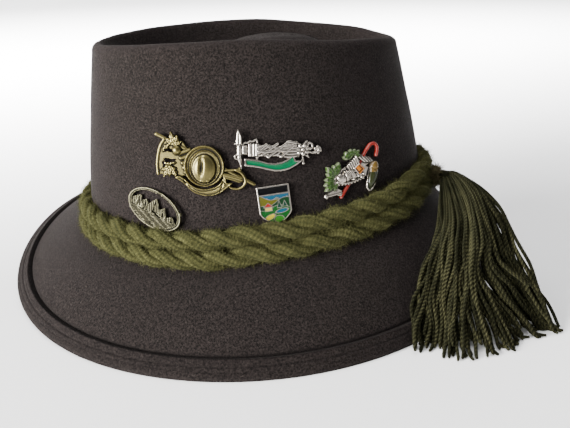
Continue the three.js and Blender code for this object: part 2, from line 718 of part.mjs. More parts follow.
// Walker's pin: a studded boot with a ribbed bellows, a crooked stick behind it, leafy
// sprigs, a coil and a small hat seen nearly from its edge, all one painted casting
function bootPin() {
  const length = bootPinLength;
  const boot = [[-0.29, -0.1], [-0.28, -0.02], [-0.2, 0.05], [-0.1, 0.09], [0, 0.15], [0.08, 0.2], [0.2, 0.18],
    [0.33, 0.12], [0.31, 0.05], [0.2, 0.02], [0.18, -0.04], [0.13, -0.12], [-0.1, -0.16], [-0.25, -0.13]];
  const tail = [[-0.52, -0.26], [-0.5, -0.19], [-0.38, -0.17], [-0.32, -0.08], [-0.24, -0.09], [-0.31, -0.19],
    [-0.24, -0.24], [-0.26, -0.29]];
  const upperSprig = [[-0.12, 0.2], [-0.06, 0.23], [-0.03, 0.29], [0.03, 0.3], [0.07, 0.24], [0.15, 0.27], [0.15, 0.2],
    [0.05, 0.14], [-0.04, 0.17]];
  const lowerSprig = [[-0.22, 0.17], [-0.28, 0.14], [-0.3, 0.09], [-0.4, 0.15], [-0.39, 0.07], [-0.35, 0.03],
    [-0.44, -0.02], [-0.4, -0.06], [-0.5, -0.1], [-0.5, -0.16], [-0.34, -0.17], [-0.28, -0.08], [-0.28, 0.02], [-0.24, 0.1]];
  const link = [[0.15, 0.06], [0.15, -0.08], [0.3, -0.16], [0.34, -0.02]];
  const stick = [[-0.262, -0.296], [-0.1, -0.15], [0.08, 0.03], [0.22, 0.173], [0.34, 0.273], [0.431, 0.288],
    [0.465, 0.231], [0.428, 0.127]];
  const brim = plate(ellipse(0.207, 0.075, 12), length, pinPlate, pinPlate);
  brim.rotateZ(radians(61));
  brim.translate(0.3 * length, -0.16 * length, 0);
  const ribs = Array.from({ length: 4 }, (_, k) => {
    const shift = k / 4;
    const start = [-0.085 + 0.14 * shift, 0.075 + 0.09 * shift];
    const end = [-0.045 + 0.14 * shift, -0.02 + 0.07 * shift];
    return bar(start, end, length, stickDiameter * 0.8, pinPlate * 2.4);
  });
  const solid = fuse([
    plate(boot, length, pinPlate * 1.3),
    plate(tail, length, pinPlate * 1.2),
    plate(upperSprig, length, pinPlate * 1.1),
    plate(lowerSprig, length, pinPlate * 1.5),
    plate(link, length, pinPlate * 1.2),
    wire(stick, length, stickDiameter, stickDiameter / 2),
    lump(-0.18, -0.04, 0.1, 0.08, length, pinPlate * 1.3, pinPlate * 1.6),
    lump(0.01, 0.07, 0.12, 0.1, length, pinPlate, pinPlate * 1.9),
    lump(0.21, 0.12, 0.1, 0.045, length, pinPlate, pinPlate * 1.2),
    brim,
    lump(0.4, -0.07, 0.075, 0.075, length, pinPlate * 1.6, pinPlate),
    ...ribs,
  ]);
  add('pin_boot', toGeometry(flatBacked(solid, length)), silver, pinGroup(pinSeats.boot, length));
}

hatPin();
axePin();
badgePin();
shieldPin();
bootPin();

// Origin at the middle of the underside of the whole, tassel included
const bounds = new THREE.Box3().setFromObject(hat);
const middle = bounds.getCenter(new THREE.Vector3());
hat.position.set(-middle.x, -middle.y, -bounds.min.z);

export default hat;
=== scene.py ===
import math
import bpy
import numpy as np
from mathutils import Matrix, Vector


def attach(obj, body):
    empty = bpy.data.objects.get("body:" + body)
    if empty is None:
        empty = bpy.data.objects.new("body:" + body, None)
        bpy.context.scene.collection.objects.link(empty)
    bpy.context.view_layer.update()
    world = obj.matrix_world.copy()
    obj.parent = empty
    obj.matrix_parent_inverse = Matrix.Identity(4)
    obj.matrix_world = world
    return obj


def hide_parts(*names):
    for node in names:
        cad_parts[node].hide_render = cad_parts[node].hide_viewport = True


# Tyrolean hat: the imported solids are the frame, and every visible surface is modelled here.
# Shapes are worked out in millimetres in the hat's own frame (front at -X, wearer's left at -Y,
# brim edge on z = 0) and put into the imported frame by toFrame.

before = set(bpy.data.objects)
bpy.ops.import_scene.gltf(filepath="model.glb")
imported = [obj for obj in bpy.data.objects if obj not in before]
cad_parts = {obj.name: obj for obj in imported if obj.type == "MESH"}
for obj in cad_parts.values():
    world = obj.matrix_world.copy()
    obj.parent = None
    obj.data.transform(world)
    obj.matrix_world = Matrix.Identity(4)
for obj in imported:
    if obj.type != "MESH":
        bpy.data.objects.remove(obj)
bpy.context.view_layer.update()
chance = np.random.default_rng(58)
print("frame loaded:", len(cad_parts), "nodes")

brim = {
    "length": 286.0, "width": 267.6, "shift": -2.6, "egg": 0.01,
    "lift": 17.0, "swing": 0.3,        # how high the edge is bent up, and how far out it swings for that
    "edgeWaves": [(310, 45, 1.0)],     # turn in degrees, spread in degrees, share of the lift
    "edgeSeat": 0.6,           # height of the edge's middle, as a share of its radius
    "slope": 0.45,             # how much of the fall comes evenly, the rest towards the edge
    "weltWidth": 10.2, "weltRise": 1.8,
    "weltShoulder": (0.7, 0.5),        # how far inside and outside its width the welt steps down
    "weltBelly": 0.4,          # swell of the welt between its groove and the edge
    # grooveShade: width of the shade painted into the welt's groove
    "grooveDepth": 0.9, "grooveWidth": 0.55, "grooveGap": 0.6, "grooveShade": 0.9,
    "stitches": [(0.62, 0.42), (0.4, 0.2)], "stitchWidth": 0.45,     # place across the welt, depth
}
crown = {
    "wall": 2.0, "egg": 0.04,
    "footLength": 200.0, "footWidth": 178.0, "footShift": 0.4,
    "footFront": 32.5, "footSide": 39.0, "footBack": 41.5,
    "ridgeLength": 163.5, "ridgeWidth": 116.0, "ridgeShift": -1.3,
    "ridgeFront": 133.7, "ridgeSide": 137.5, "ridgeBack": 128.9,
    "ridgeRadius": 4.0, "ridgeInside": 145.0,
    "gutterDepth": 14.0, "humpDrop": 5.5, "humpShift": 20.0,
    # turn in degrees, spread in degrees, height as a share of the gutter's depth or the foot's height
    "ridgeWaves": [(112, 22, -0.13), (206, 22, 0.12), (296, 30, -0.06)],
    "footWaves": [(55, 26, -0.067), (140, 32, 0.13)],
    # reach from the hump to the ridge, and how much of the gutter's depth it sinks there
    "top": [(0, 0), (0.24, 0.05), (0.4, 0.32), (0.55, 0.78), (0.68, 1), (0.8, 0.93), (0.91, 0.6), (1, 0)],
}
clearance = 0.3
edgeRadius = (crown["wall"] + brim["weltRise"]) / 2

frameShift = np.array([3.376, 6.764, 0.0])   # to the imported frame, whose origin is mid-box


def toFrame(points):  # millimetres in the hat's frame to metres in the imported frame
    return (np.asarray(points, float) + frameShift) / 1000


# A socket of a shader: sums and products of two of them add their Math nodes
class Level:
    def __init__(self, tree, socket):
        self.tree, self.socket = tree, socket

    def join(self, operation, first, second=None):
        made = self.tree.nodes.new("ShaderNodeMath")
        made.operation = operation
        for slot, item in enumerate((first, second)):
            if isinstance(item, Level):
                self.tree.links.new(item.socket, made.inputs[slot])
            elif item is not None:
                made.inputs[slot].default_value = item
        return Level(self.tree, made.outputs[0])

    def __add__(self, other): return self.join("ADD", self, other)
    def __radd__(self, other): return self.join("ADD", other, self)
    def __sub__(self, other): return self.join("SUBTRACT", self, other)
    def __rsub__(self, other): return self.join("SUBTRACT", other, self)
    def __mul__(self, other): return self.join("MULTIPLY", self, other)
    def __rmul__(self, other): return self.join("MULTIPLY", other, self)
    def sine(self): return self.join("SINE", self)
    def most(self, other): return self.join("MAXIMUM", self, other)


class Finish:
    def __init__(self, name, **constants):
        self.material = bpy.data.materials.new(name)
        self.material.use_nodes = True
        self.tree = self.material.node_tree
        self.shader = self.tree.nodes["Principled BSDF"]
        for key, value in constants.items():
            self.feed(self.shader.inputs[key.replace("_", " ")], value)

    def feed(self, socket, value):
        if isinstance(value, Level):
            self.tree.links.new(value.socket, socket)
        elif isinstance(value, (tuple, list)) and socket.type == "RGBA":
            socket.default_value = (*value[:3], 1.0)
        else:
            socket.default_value = value

    # Any node: its kind, its settings first, then the values or links of its sockets
    def node(self, kind, settings=None, sockets=None, out=0):
        made = self.tree.nodes.new("ShaderNode" + kind)
        for key, value in (settings or {}).items():
            if key == "stops":
                stops = made.color_ramp.elements
                while len(stops) < len(value):
                    stops.new(1.0)
                for stop, (place, colour) in zip(stops, value):
                    stop.position = place
                    stop.color = (*(colour if isinstance(colour, tuple) else [colour] * 3), 1.0)
            else:
                setattr(made, key, value)
        for key, value in (sockets or {}).items():
            self.feed(made.inputs[key], value)
        return Level(self.tree, made.outputs[out])

    def place(self):
        return self.node("TexCoord", out="Object")

    def noise(self, where, scale, detail, rough):
        sockets = {"Vector": where, "Scale": scale, "Detail": detail, "Roughness": rough}
        return self.node("TexNoise", None, sockets)

    # Noise drawn out along one direction of a turned copy of the place
    def streaks(self, scale, turn, detail, rough):
        where = self.node("Mapping", None, {"Vector": self.place(), "Scale": scale, "Rotation": turn})
        return self.noise(where, 1, detail, rough)

    def ramp(self, level, stops):
        return self.node("ValToRGB", {"stops": stops}, {"Fac": level})

    def blend(self, share, first, second):
        return self.node("Mix", {"data_type": "RGBA"}, {0: share, 6: first, 7: second}, out=2)

    def attribute(self, name, out="Fac"):
        return self.node("Attribute", {"attribute_name": name}, out=out)

    def bump(self, height, distance, strength):
        return self.node("Bump", None, {"Height": height, "Distance": distance, "Strength": strength})

    def set(self, **levels):
        for key, value in levels.items():
            self.feed(self.shader.inputs[key.replace("_", " ")], value)
        return self.material


# Quads between the points of a grid, as rows of four indices. A wrapped direction joins its
# last line of points to its first.
def gridQuads(rows, columns, wrapColumns=True, wrapRows=False, start=0):
    i = np.arange(rows if wrapRows else rows - 1)[:, None]
    j = np.arange(columns if wrapColumns else columns - 1)[None, :]
    down, across = (i + 1) % rows, (j + 1) % columns
    corners = [i * columns + j, i * columns + across, down * columns + across, down * columns + j]
    return np.stack(corners, -1).reshape(-1, 4) + start


# Mesh object from points and index rows of three or four, with one material and any point
# attributes, its faces turned to point outwards if asked
def makePiece(name, points, faces, material, levels=None, colours=None, outward=False):
    mesh = bpy.data.meshes.new(name)
    rows = [np.asarray(block, np.int32) for block in faces if len(block)]
    loops = np.concatenate([block.ravel() for block in rows])
    sizes = np.concatenate([np.full(len(block), block.shape[1], np.int32) for block in rows])
    mesh.vertices.add(len(points))
    mesh.vertices.foreach_set("co", np.asarray(points, np.float32).ravel())
    mesh.loops.add(len(loops))
    mesh.loops.foreach_set("vertex_index", loops)
    mesh.polygons.add(len(sizes))
    mesh.polygons.foreach_set("loop_start", np.concatenate([[0], np.cumsum(sizes)[:-1]]).astype(np.int32))
    mesh.update(calc_edges=True)
    mesh.validate()
    if outward and signedVolume(points, rows) < 0:
        mesh.flip_normals()
    mesh.polygons.foreach_set("use_smooth", np.ones(len(mesh.polygons), bool))
    for key, values in (levels or {}).items():
        held = mesh.attributes.new(key, "FLOAT", "POINT")
        held.data.foreach_set("value", np.asarray(values, np.float32).ravel())
    for key, values in (colours or {}).items():
        held = mesh.attributes.new(key, "FLOAT_COLOR", "POINT")
        solid = np.concatenate([values, np.ones((len(values), 1))], 1)
        held.data.foreach_set("color", solid.astype(np.float32).ravel())
    mesh.materials.append(material)
    piece = bpy.data.objects.new(name, mesh)
    bpy.context.scene.collection.objects.link(piece)
    return piece


# Volume inside a closed mesh: the sum over its triangles of a . (b x c) / 6
def signedVolume(points, rows):
    points = np.asarray(points, float) - np.mean(points, 0)
    total = 0.0
    for block in rows:
        for k in range(1, block.shape[1] - 1):
            a, b, c = points[block[:, 0]], points[block[:, k]], points[block[:, k + 1]]
            total += np.einsum("ij,ij->i", a, np.cross(b, c)).sum() / 6
    return total


def finishPiece(piece, slot, *nodes):
    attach(piece, "root")
    if nodes:
        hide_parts(*nodes)


def unit(vectors):
    return vectors / np.maximum(np.linalg.norm(vectors, axis=-1, keepdims=True), 1e-12)


# Smooth step: 0 before the first value, 1 after the second, 3t^2 - 2t^3 between
def ease(x, first, last):
    t = np.clip((x - first) / (last - first), 0, 1)
    return t * t * (3 - 2 * t)


# Soft noise along a circle or a line: a few sine waves of random phase, about 1 high
def sway(x, waves, seed):
    dice = np.random.default_rng(seed)
    total = np.zeros_like(x, float)
    for wave in waves:
        total += np.sin(wave * x + dice.uniform(0, 2 * math.pi)) * dice.uniform(0.5, 1)
    return total / math.sqrt(len(waves))


# Tubes along many paths at once: paths is (count, steps, 3), radius (count, steps), and relief
# scales the radius round the section. Section point = path + radius * relief * (cos a * side +
# sin a * over), side and over square to the path; ends close on a point.
def tubes(paths, radius, sides, relief=1.0, up=(0.0, 0.0, 1.0)):
    count, steps, _ = paths.shape
    tangent = unit(np.gradient(paths, axis=1))
    side = np.cross(tangent, np.asarray(up, float))
    weak = np.linalg.norm(side, axis=-1, keepdims=True) < 1e-3
    side = unit(np.where(weak, np.cross(tangent, [1.0, 0.0, 0.0]), side))
    over = np.cross(side, tangent)
    angle = 2 * math.pi * np.arange(sides) / sides
    reach = radius[..., None] * relief * np.ones(sides)
    ring = paths[:, :, None] + (reach * np.cos(angle))[..., None] * side[:, :, None]
    ring = ring + (reach * np.sin(angle))[..., None] * over[:, :, None]
    body = ring.reshape(count, steps * sides, 3)
    points = np.concatenate([body, paths[:, :1], paths[:, -1:]], 1)
    quads = gridQuads(steps, sides)
    spin = np.arange(sides)
    first = np.stack([np.full(sides, steps * sides), (spin + 1) % sides, spin], 1)
    last = np.stack([np.full(sides, steps * sides + 1), (steps - 1) * sides + spin,
                     (steps - 1) * sides + (spin + 1) % sides], 1)
    block = points.shape[1]
    offsets = (np.arange(count) * block)[:, None, None]
    caps = np.concatenate([first, last])
    return points.reshape(-1, 3), [(quads + offsets).reshape(-1, 4), (caps + offsets).reshape(-1, 3)]


# Hairs as thin triangles: a base of the given width at the root, square to the hair, and a tip
def hairs(roots, tips, width):
    across = 0.5 * width * unit(np.cross(tips - roots, chance.normal(size=roots.shape)))
    points = np.stack([roots - across, roots + across, tips], 1).reshape(-1, 3)
    return points, [np.arange(len(points)).reshape(-1, 3)]


# Loop round the hat at a turn: x = shift - (length / 2 + grow) cos, y = -(width / 2 + grow) sin
# (1 - egg cos), z = mean + lean cos + sag cos 2 + lift
def loopPoint(loop, turn, grow=0.0, lift=0.0):
    c, s = np.cos(turn), np.sin(turn)
    mean = (loop["front"] + loop["back"] + 2 * loop["side"]) / 4
    lean = (loop["front"] - loop["back"]) / 2
    sag = (loop["front"] + loop["back"] - 2 * loop["side"]) / 4
    x = loop["shift"] - (loop["length"] / 2 + grow) * c
    y = -(loop["width"] / 2 + grow) * s * (1 - loop["egg"] * c)
    z = mean + lean * c + sag * np.cos(2 * turn) + lift
    return np.stack(np.broadcast_arrays(x, y, z), -1)


def crownLoop(part):  # the loop of the crown's foot or ridge, from the sizes that bear its name
    names = ("length", "width", "shift", "front", "side", "back")
    return {"egg": crown["egg"], **{name: crown[part + name.capitalize()] for name in names}}


footLoop, ridgeLoop = crownLoop("foot"), crownLoop("ridge")
edgeLoop = {"length": brim["length"] - 2 * edgeRadius, "width": brim["width"] - 2 * edgeRadius,
            "shift": brim["shift"], "egg": brim["egg"],
            **dict.fromkeys(("front", "side", "back"), brim["edgeSeat"] * edgeRadius)}


# Waves of a loop: the sum of height * exp(-(turn away / spread)^2)
def waveAt(waves, turn):
    total = 0.0
    for place, spread, height in waves:
        away = np.arctan2(np.sin(turn - math.radians(place)), np.cos(turn - math.radians(place)))
        total = total + height * np.exp(-((away / math.radians(spread)) ** 2))
    return total


def footPoint(turn):
    return loopPoint(footLoop, turn, 0.0, crown["footSide"] * waveAt(crown["footWaves"], turn))


def edgePoint(turn):
    lift = brim["lift"] * waveAt(brim["edgeWaves"], turn)
    return loopPoint(edgeLoop, turn, brim["swing"] * lift, lift)


# Roll of the ridge: angle 0 at its outer side, a quarter turn at its top
def ridgePoint(turn, angle):
    radius, wave = crown["ridgeRadius"], crown["gutterDepth"] * waveAt(crown["ridgeWaves"], turn)
    return loopPoint(ridgeLoop, turn, radius * np.cos(angle), radius * (np.sin(angle) - 1) + wave)


def wallPoint(turn, share):
    share = np.asarray(share)[..., None]
    return footPoint(turn) * (1 - share) + ridgePoint(turn, 0.0) * share


# Brim: straight in plan from the foot to the edge, falling by slope * out + (1 - slope) * out^2
def brimPoint(turn, out):
    foot, edge = footPoint(turn), edgePoint(turn)
    out = np.asarray(out)[..., None]
    point = foot * (1 - out) + edge * out
    fall = out[..., 0] * (brim["slope"] + (1 - brim["slope"]) * out[..., 0])
    point[..., 2] = foot[..., 2] + (edge[..., 2] - foot[..., 2]) * fall
    return point


# Swell of the wall over its straight line: bulge * cos^4 of the turn * sin(pi * share^0.6)
def wallBulge(turn, share):
    return felt["bulge"] * np.cos(turn) ** 4 * np.sin(math.pi * np.clip(share, 0, 1) ** 0.6)


# Frame on the crown wall: along towards the back on the wearer's left, rise up the wall, out
def wallFrame(turn, share):
    small = 0.001
    along = unit(wallPoint(turn + small, share) - wallPoint(turn - small, share))
    rise = unit(wallPoint(turn, 1.0) - wallPoint(turn, 0.0))
    out = unit(np.cross(along, rise))
    return wallPoint(turn, share), along, np.cross(out, along), out


# Felt: rows run from the hump over the ridge, down the wall and out to the edge. The outer
# skin is lifted off them by the welt, the inner one lies a wall's thickness behind.
felt = {
    "columns": 240, "topRows": 36, "ridgeRows": 12, "wallRows": 36, "brimRows": 24, "weltRows": 42,
    "capRows": 9,              # round the edge, between the skins
    "softness": 0.3,           # millimetres that the felt waves in and out
    "bulge": 2.0,              # how far the wall swells at the front and the back
    "fuzz": {"count": 28000, "length": 1.6, "width": 0.06, "lean": 1.1},
    "darkest": (0.001, 0.0008, 0.0008), "dark": (0.0042, 0.0031, 0.0029), "fibre": (0.0162, 0.0126, 0.0116),
    "fleck": (0.024, 0.0195, 0.0175), "stray": (0.045, 0.037, 0.033), "worn": (0.018, 0.0145, 0.0135),
    # groove: colour of the painted shade in the welt's groove and stitch lines
    "groove": (0.0012, 0.001, 0.001),
}
wallEnd = felt["topRows"] + felt["ridgeRows"] + felt["wallRows"]     # first row of the brim


def feltRows():
    turn = 2 * math.pi * np.arange(felt["columns"]) / felt["columns"]
    inside = math.radians(crown["ridgeInside"])
    rows = []
    reach = np.linspace(0, 1, felt["topRows"], endpoint=False) ** 0.9
    sink = smoothTable(*np.array(crown["top"], float).T, reach)
    hump = np.array([crown["humpShift"], 0, crown["ridgeSide"] - crown["humpDrop"]])
    rim = ridgePoint(turn, inside)
    for far, low in zip(reach, sink):
        row = hump * (1 - far) + rim * far
        row[:, 2] -= crown["gutterDepth"] * low
        rows.append(row)
    for angle in np.linspace(inside, 0, felt["ridgeRows"], endpoint=False):
        rows.append(ridgePoint(turn, angle))
    for share in np.linspace(1, 0, felt["wallRows"], endpoint=False):
        rows.append(wallPoint(turn, share) + wallFrame(turn, share)[3] * wallBulge(turn, share)[:, None])
    span = np.linalg.norm(footPoint(turn) - edgePoint(turn), axis=-1)
    start = 1 - (brim["weltWidth"] - edgeRadius) / span * 1.25       # the rows are closer from here on
    for share in np.linspace(0, 1, felt["brimRows"], endpoint=False):
        rows.append(brimPoint(turn, share * start))
    for share in np.linspace(0, 1, felt["weltRows"]):
        rows.append(brimPoint(turn, start + share * (1 - start)))
    rows = np.array(rows)
    near = slice(wallEnd - 2, wallEnd + 3)
    for _ in range(3):  # soften the corner where the wall meets the brim
        rows[near] = (rows[wallEnd - 3:wallEnd + 2] + 2 * rows[near] + rows[wallEnd - 1:wallEnd + 4]) / 4
    return turn, rows


# Smooth curve through a table at x: with t the share of its stretch and a, b its ends and m, n
# their slopes, a + m t + (3 (b - a) - 2 m - n) t^2 + (2 (a - b) + m + n) t^3
def smoothTable(places, values, x):
    k = np.clip(np.searchsorted(places, x, side="right") - 1, 0, len(places) - 2)
    shape = k.shape + (1,) * (values.ndim - 1)
    span = (places[k + 1] - places[k]).reshape(shape)
    t = (x - places[k]).reshape(shape) / span
    slope = np.gradient(values, places, axis=0)
    a, b = values[k], values[k + 1]
    m, n = slope[k] * span, slope[k + 1] * span
    return a + m * t + (3 * (b - a) - 2 * m - n) * t ** 2 + (2 * (a - b) + m + n) * t ** 3


# Felt skins: outer = row + normal * (welt - groove - stitches + soft waves), inner = row + normal *
# (soft waves - wall), a half round of the edge's radius between them, and every other row inside
def buildFelt(material):
    turn, rows = feltRows()
    count, welt = len(rows), brim["weltWidth"]
    normal = unit(np.cross(np.gradient(rows, axis=0), np.roll(rows, -1, 1) - np.roll(rows, 1, 1)))
    normal[0] = [0, 0, 1]
    fromEdge = np.linalg.norm(rows - rows[-1], axis=-1) + edgeRadius
    fromEdge[:wallEnd] = 1000  # the crown is out of the welt's reach
    fromGroove = fromEdge - welt - brim["grooveGap"]
    before, after = brim["weltShoulder"]
    rise = brim["weltRise"] * (1 - ease(fromEdge, welt - before, welt + after))
    rise -= brim["grooveDepth"] * np.exp(-((fromGroove / brim["grooveWidth"]) ** 2))
    seams = sum(depth * np.exp(-(((fromEdge - place * welt) / brim["stitchWidth"]) ** 2))
                for place, depth in brim["stitches"])
    rise -= seams
    belly = np.sin(math.pi * np.clip(fromEdge / welt, 0, 1)) ** 0.5
    rise += brim["weltBelly"] * ease(fromEdge, welt, 1.5) * belly
    number = np.arange(count)[:, None]
    line = np.linspace(0, 1, count)[:, None]
    soft = sway(turn[None] + 3 * line, (2, 3, 5), 3) + 0.5 * sway(turn[None] * 2 + 9 * line, (3, 4, 7), 4)
    soft = soft * felt["softness"] * ease(number, 2, 12)
    soft = soft * (1 - ease(number, count - felt["weltRows"] - 8, count - 4))
    outer = rows + normal * (rise + soft)[..., None]
    inner = rows + normal * (soft - crown["wall"])[..., None]
    middle = rows[-1] + normal[-1] * (brim["weltRise"] - crown["wall"]) / 2
    outward = unit(rows[-1] - rows[-3])
    angle = np.linspace(0, math.pi, felt["capRows"] + 2)[1:-1, None, None]
    cap = middle + normal[-1] * edgeRadius * np.cos(angle) + outward * edgeRadius * np.sin(angle)
    grid = np.concatenate([outer[1:], cap, inner[:2:-2]])
    grid[..., 2] = np.maximum(grid[..., 2], 0)
    lines, columns = grid.shape[:2]
    points = np.concatenate([grid.reshape(-1, 3), outer[0, :1], inner[0, :1]])
    spin = np.arange(columns)
    top = np.stack([np.full(columns, lines * columns), (spin + 1) % columns, spin], 1)
    last = (lines - 1) * columns
    under = np.stack([np.full(columns, lines * columns + 1), last + spin, last + (spin + 1) % columns], 1)
    # painted shade: the groove level darkens the felt in the welt's groove and along the stitches
    groove = np.zeros((lines, columns))
    groove[: count - 1] = np.exp(-((fromGroove[1:] / brim["grooveShade"]) ** 2)) + 1.2 * seams[1:]
    worn = np.zeros((lines, columns))
    worn[: count - 1] = ease(-np.abs(np.arange(1, count) - felt["topRows"] - 5), -9, 0)[:, None]
    levels = {"groove": np.append(groove.ravel(), [0, 0]), "worn": np.append(worn.ravel(), [0, 0])}
    faces = [block[:, ::-1] for block in (gridQuads(lines, columns), top, under)]
    piece = makePiece("felt_hat", toFrame(points), faces, material, levels, outward=True)
    print("felt:", len(piece.data.polygons), "faces")
    finishPiece(piece, "felt", "felt_body")
    return outer[2:].reshape(-1, 3), normal[2:].reshape(-1, 3)


# Felt finish: dark brown wool with paler and darker fibres, rubbed a little paler on the ridge, and painted
# shade darkening the welt's groove and its stitch lines
def feltFinish():
    paint = Finish("wool felt", Specular_IOR_Level=0.06, Sheen_Weight=0.02, Sheen_Roughness=0.5,
                   Sheen_Tint=(0.8, 0.7, 0.66))
    where = paint.place()
    cloud = paint.noise(where, 55, 4, 0.6)
    grain = paint.noise(where, 1150, 4, 0.75)
    fleck = paint.streaks((1400, 500, 900), (0.4, 0.7, 0.2), 3, 0.6)
    strayA = paint.streaks((260, 1900, 1900), (0.3, 0.9, 0.5), 2, 0.5)
    strayB = paint.streaks((1900, 300, 1900), (1.1, 0.2, 0.8), 2, 0.5)
    wool = paint.blend(cloud, felt["darkest"], felt["dark"])
    for share, colour in ((paint.ramp(grain, [(0.42, 0.0), (0.64, 1.0)]), "fibre"),
                          (paint.ramp(fleck, [(0.56, 0.0), (0.74, 0.75)]), "fleck"),
                          (paint.ramp(strayA.most(strayB), [(0.68, 0.0), (0.76, 0.55)]), "stray"),
                          (paint.attribute("worn") * 0.15, "worn"),
                          # the groove attribute paints shade into the welt's groove and stitch lines
                          (paint.attribute("groove") * 0.6, "groove")):
        wool = paint.blend(share, wool, felt[colour])
    fibre = grain * 0.6 + fleck * 0.5 + strayA * 0.4
    bump = paint.bump(fibre, 0.0006, 0.8)
    return paint.set(Base_Color=wool, Roughness=0.88 + 0.1 * cloud, Normal=bump)


# Rope: two fat plies twisted together, each a bundle of yarns. Ply centre = rope centre + a share
# of the section, turned with the lay; the yarns run along the ply and slowly round it, and each
# bulges its surface by sin^0.7 across its own width. The crown's wall flattens the rope behind.
rope = {
    "height": 9.0, "depth": 7.0, "seat": 3.6, "pitch": 28.3,
    "plyRadius": 3.3, "plyOffset": 0.215,
    "wallGap": 3.45,           # how far behind the rope's centre the crown wall flattens it
    "yarns": 7, "yarnTurn": 58.0, "bulge": 0.07,
    "stroke": 1.45, "slant": 0.75,    # twist marks of a yarn: their spacing, and their lean across it
    "steps": 840, "sides": 28, "wobble": 0.4,
    "fuzz": {"count": 60000, "length": 4.4, "width": 0.16, "lean": 0.95},
    "colours": ((0.0075, 0.0085, 0.003), (0.035, 0.035, 0.0122), (0.106, 0.102, 0.042)), "marks": 0.5,
}


def ropeCentre(turn, level):
    point, along, rise, out = wallFrame(turn, 0.0)
    point = point + rise * (rope["seat"] + level * (rope["height"] + clearance))
    return point + out * (rope["depth"] / 2 + clearance), along, rise, out


def buildRope(name, level, material):
    girth = math.pi * (crown["footLength"] + crown["footWidth"]) / 2
    twists = round(girth / rope["pitch"])
    plyLength = math.hypot(girth, twists * 2 * math.pi * rope["plyOffset"] * rope["height"])
    windings = round(plyLength / rope["yarnTurn"])
    steps, sides, perYarn = rope["steps"], rope["sides"], rope["sides"] // rope["yarns"]
    part = np.arange(steps) / steps
    turn = math.pi + 2 * math.pi * part
    column = np.arange(sides)
    points, outwards, faces, levels = [], [], [], {"relief": [], "stroke": [], "tint": []}
    for ply in (0, 1):
        dice = np.random.default_rng(50 + 2 * level + ply)
        centre, along, rise, out = ropeCentre(turn, level)
        uneven = sway(turn, (3, 5, 8, 13), 20 + 2 * level + ply)
        lay = -twists * turn + math.pi * ply + 0.25 * sway(turn, (4, 7, 9, 15), 31 + level)
        wobble = rope["wobble"] * sway(turn, (6, 11, 17), 40 + level)[:, None]
        path = centre + out * (rope["depth"] * rope["plyOffset"] * np.cos(lay))[:, None]
        path = path + rise * (rope["height"] * rope["plyOffset"] * np.sin(lay))[:, None] + rise * wobble
        tangent = unit(np.roll(path, -1, 0) - np.roll(path, 1, 0))
        side = unit(out - tangent * np.sum(out * tangent, -1, keepdims=True))
        over = np.cross(tangent, side)
        angle = 2 * math.pi * (column[None] / sides + windings * part[:, None])
        across = (column % perYarn) / perYarn
        yarn = np.sin(math.pi * across) ** 0.7
        number = np.repeat(np.arange(rope["yarns"]), perYarn)
        loose = np.stack([sway(turn, (9, 14, 23, 31), 70 + 10 * k + ply) for k in range(rope["yarns"])], 1)
        radius = rope["plyRadius"] * (1 + 0.05 * uneven[:, None] + 0.05 * loose[:, number])
        radius = radius * (1 + rope["bulge"] * (yarn[None] - 0.6))
        ring = path[:, None] + (radius * np.cos(angle))[..., None] * side[:, None]
        ring = ring + (radius * np.sin(angle))[..., None] * over[:, None]
        behind = np.einsum("ijk,ik->ij", ring - centre[:, None], out)
        ring = ring + np.maximum(-rope["wallGap"] - behind, 0)[..., None] * out[:, None]
        faces.append(gridQuads(steps, sides, True, True, start=len(points) * steps * sides)[:, ::-1])
        points.append(ring.reshape(-1, 3))
        outwards.append(unit(ring - path[:, None]).reshape(-1, 3))
        start = dice.uniform(0, 1, rope["yarns"])
        # relief: 1 on a yarn's crest, 0 between yarns; the finish paints shade between the yarns and a
        # highlight on their crests from it
        levels["relief"].append(np.broadcast_to(yarn, (steps, sides)).ravel())
        stroke = part[:, None] * plyLength / rope["stroke"] + rope["slant"] * across + start[number]
        levels["stroke"].append(stroke.ravel())
        levels["tint"].append((0.5 + 0.3 * loose[:, number] + 0.3 * (start[number] - 0.5)).ravel())
    points, outwards = np.concatenate(points), np.concatenate(outwards)
    piece = makePiece(name + "_wool", toFrame(points), faces, material,
                      {key: np.concatenate(values) for key, values in levels.items()}, outward=True)
    print(name + ":", 2 * len(piece.data.polygons), "triangles")
    finishPiece(piece, "rope_wool", name)
    return points, outwards


# Wool finish: yarn colour with painted shade in the crevices between yarns and a painted highlight on their
# crests, from the relief attribute, twist marks across each yarn, fibre grain, and a tint that differs from
# yarn to yarn. On a strand the marks wind round it: cos(2 angle + 2 pi stroke + noise) from the attributes
# that hold cos and sine of twice the angle.
def woolFinish(name, colours, marks, wound=False):
    paint = Finish(name, Specular_IOR_Level=0.04, Sheen_Weight=0.03, Sheen_Roughness=0.5,
                   Sheen_Tint=(0.75, 0.8, 0.42))
    where = paint.place()
    cloud = paint.noise(where, 120, 3, 0.6)
    grain = paint.noise(where, 1300, 4, 0.75)
    phase = paint.attribute("stroke") * (2 * math.pi)
    if wound:
        phase = phase + cloud * 4.0 + grain * 1.2
        mark = paint.attribute("markCos") * (phase + math.pi / 2).sine()
        mark = mark - paint.attribute("markSine") * phase.sine()
    else:
        mark = (phase + (cloud + grain) * 3.0).sine()
    mark = mark * 0.5 + 0.5
    # relief paints shade into the crevices between yarns and a highlight on their crests
    body = 0.12 + paint.attribute("relief") * 0.24 + mark * (0.34 * marks) + grain * 0.38 + cloud * 0.34
    tone = body + paint.attribute("tint") * 0.22 - 0.42
    wool = paint.ramp(tone, list(zip((0.08, 0.5, 0.92), colours)))
    bump = paint.bump(mark * (0.55 * marks) + grain * 0.55, 0.0006, 0.75)
    return paint.set(Base_Color=wool, Roughness=0.95, Normal=bump)


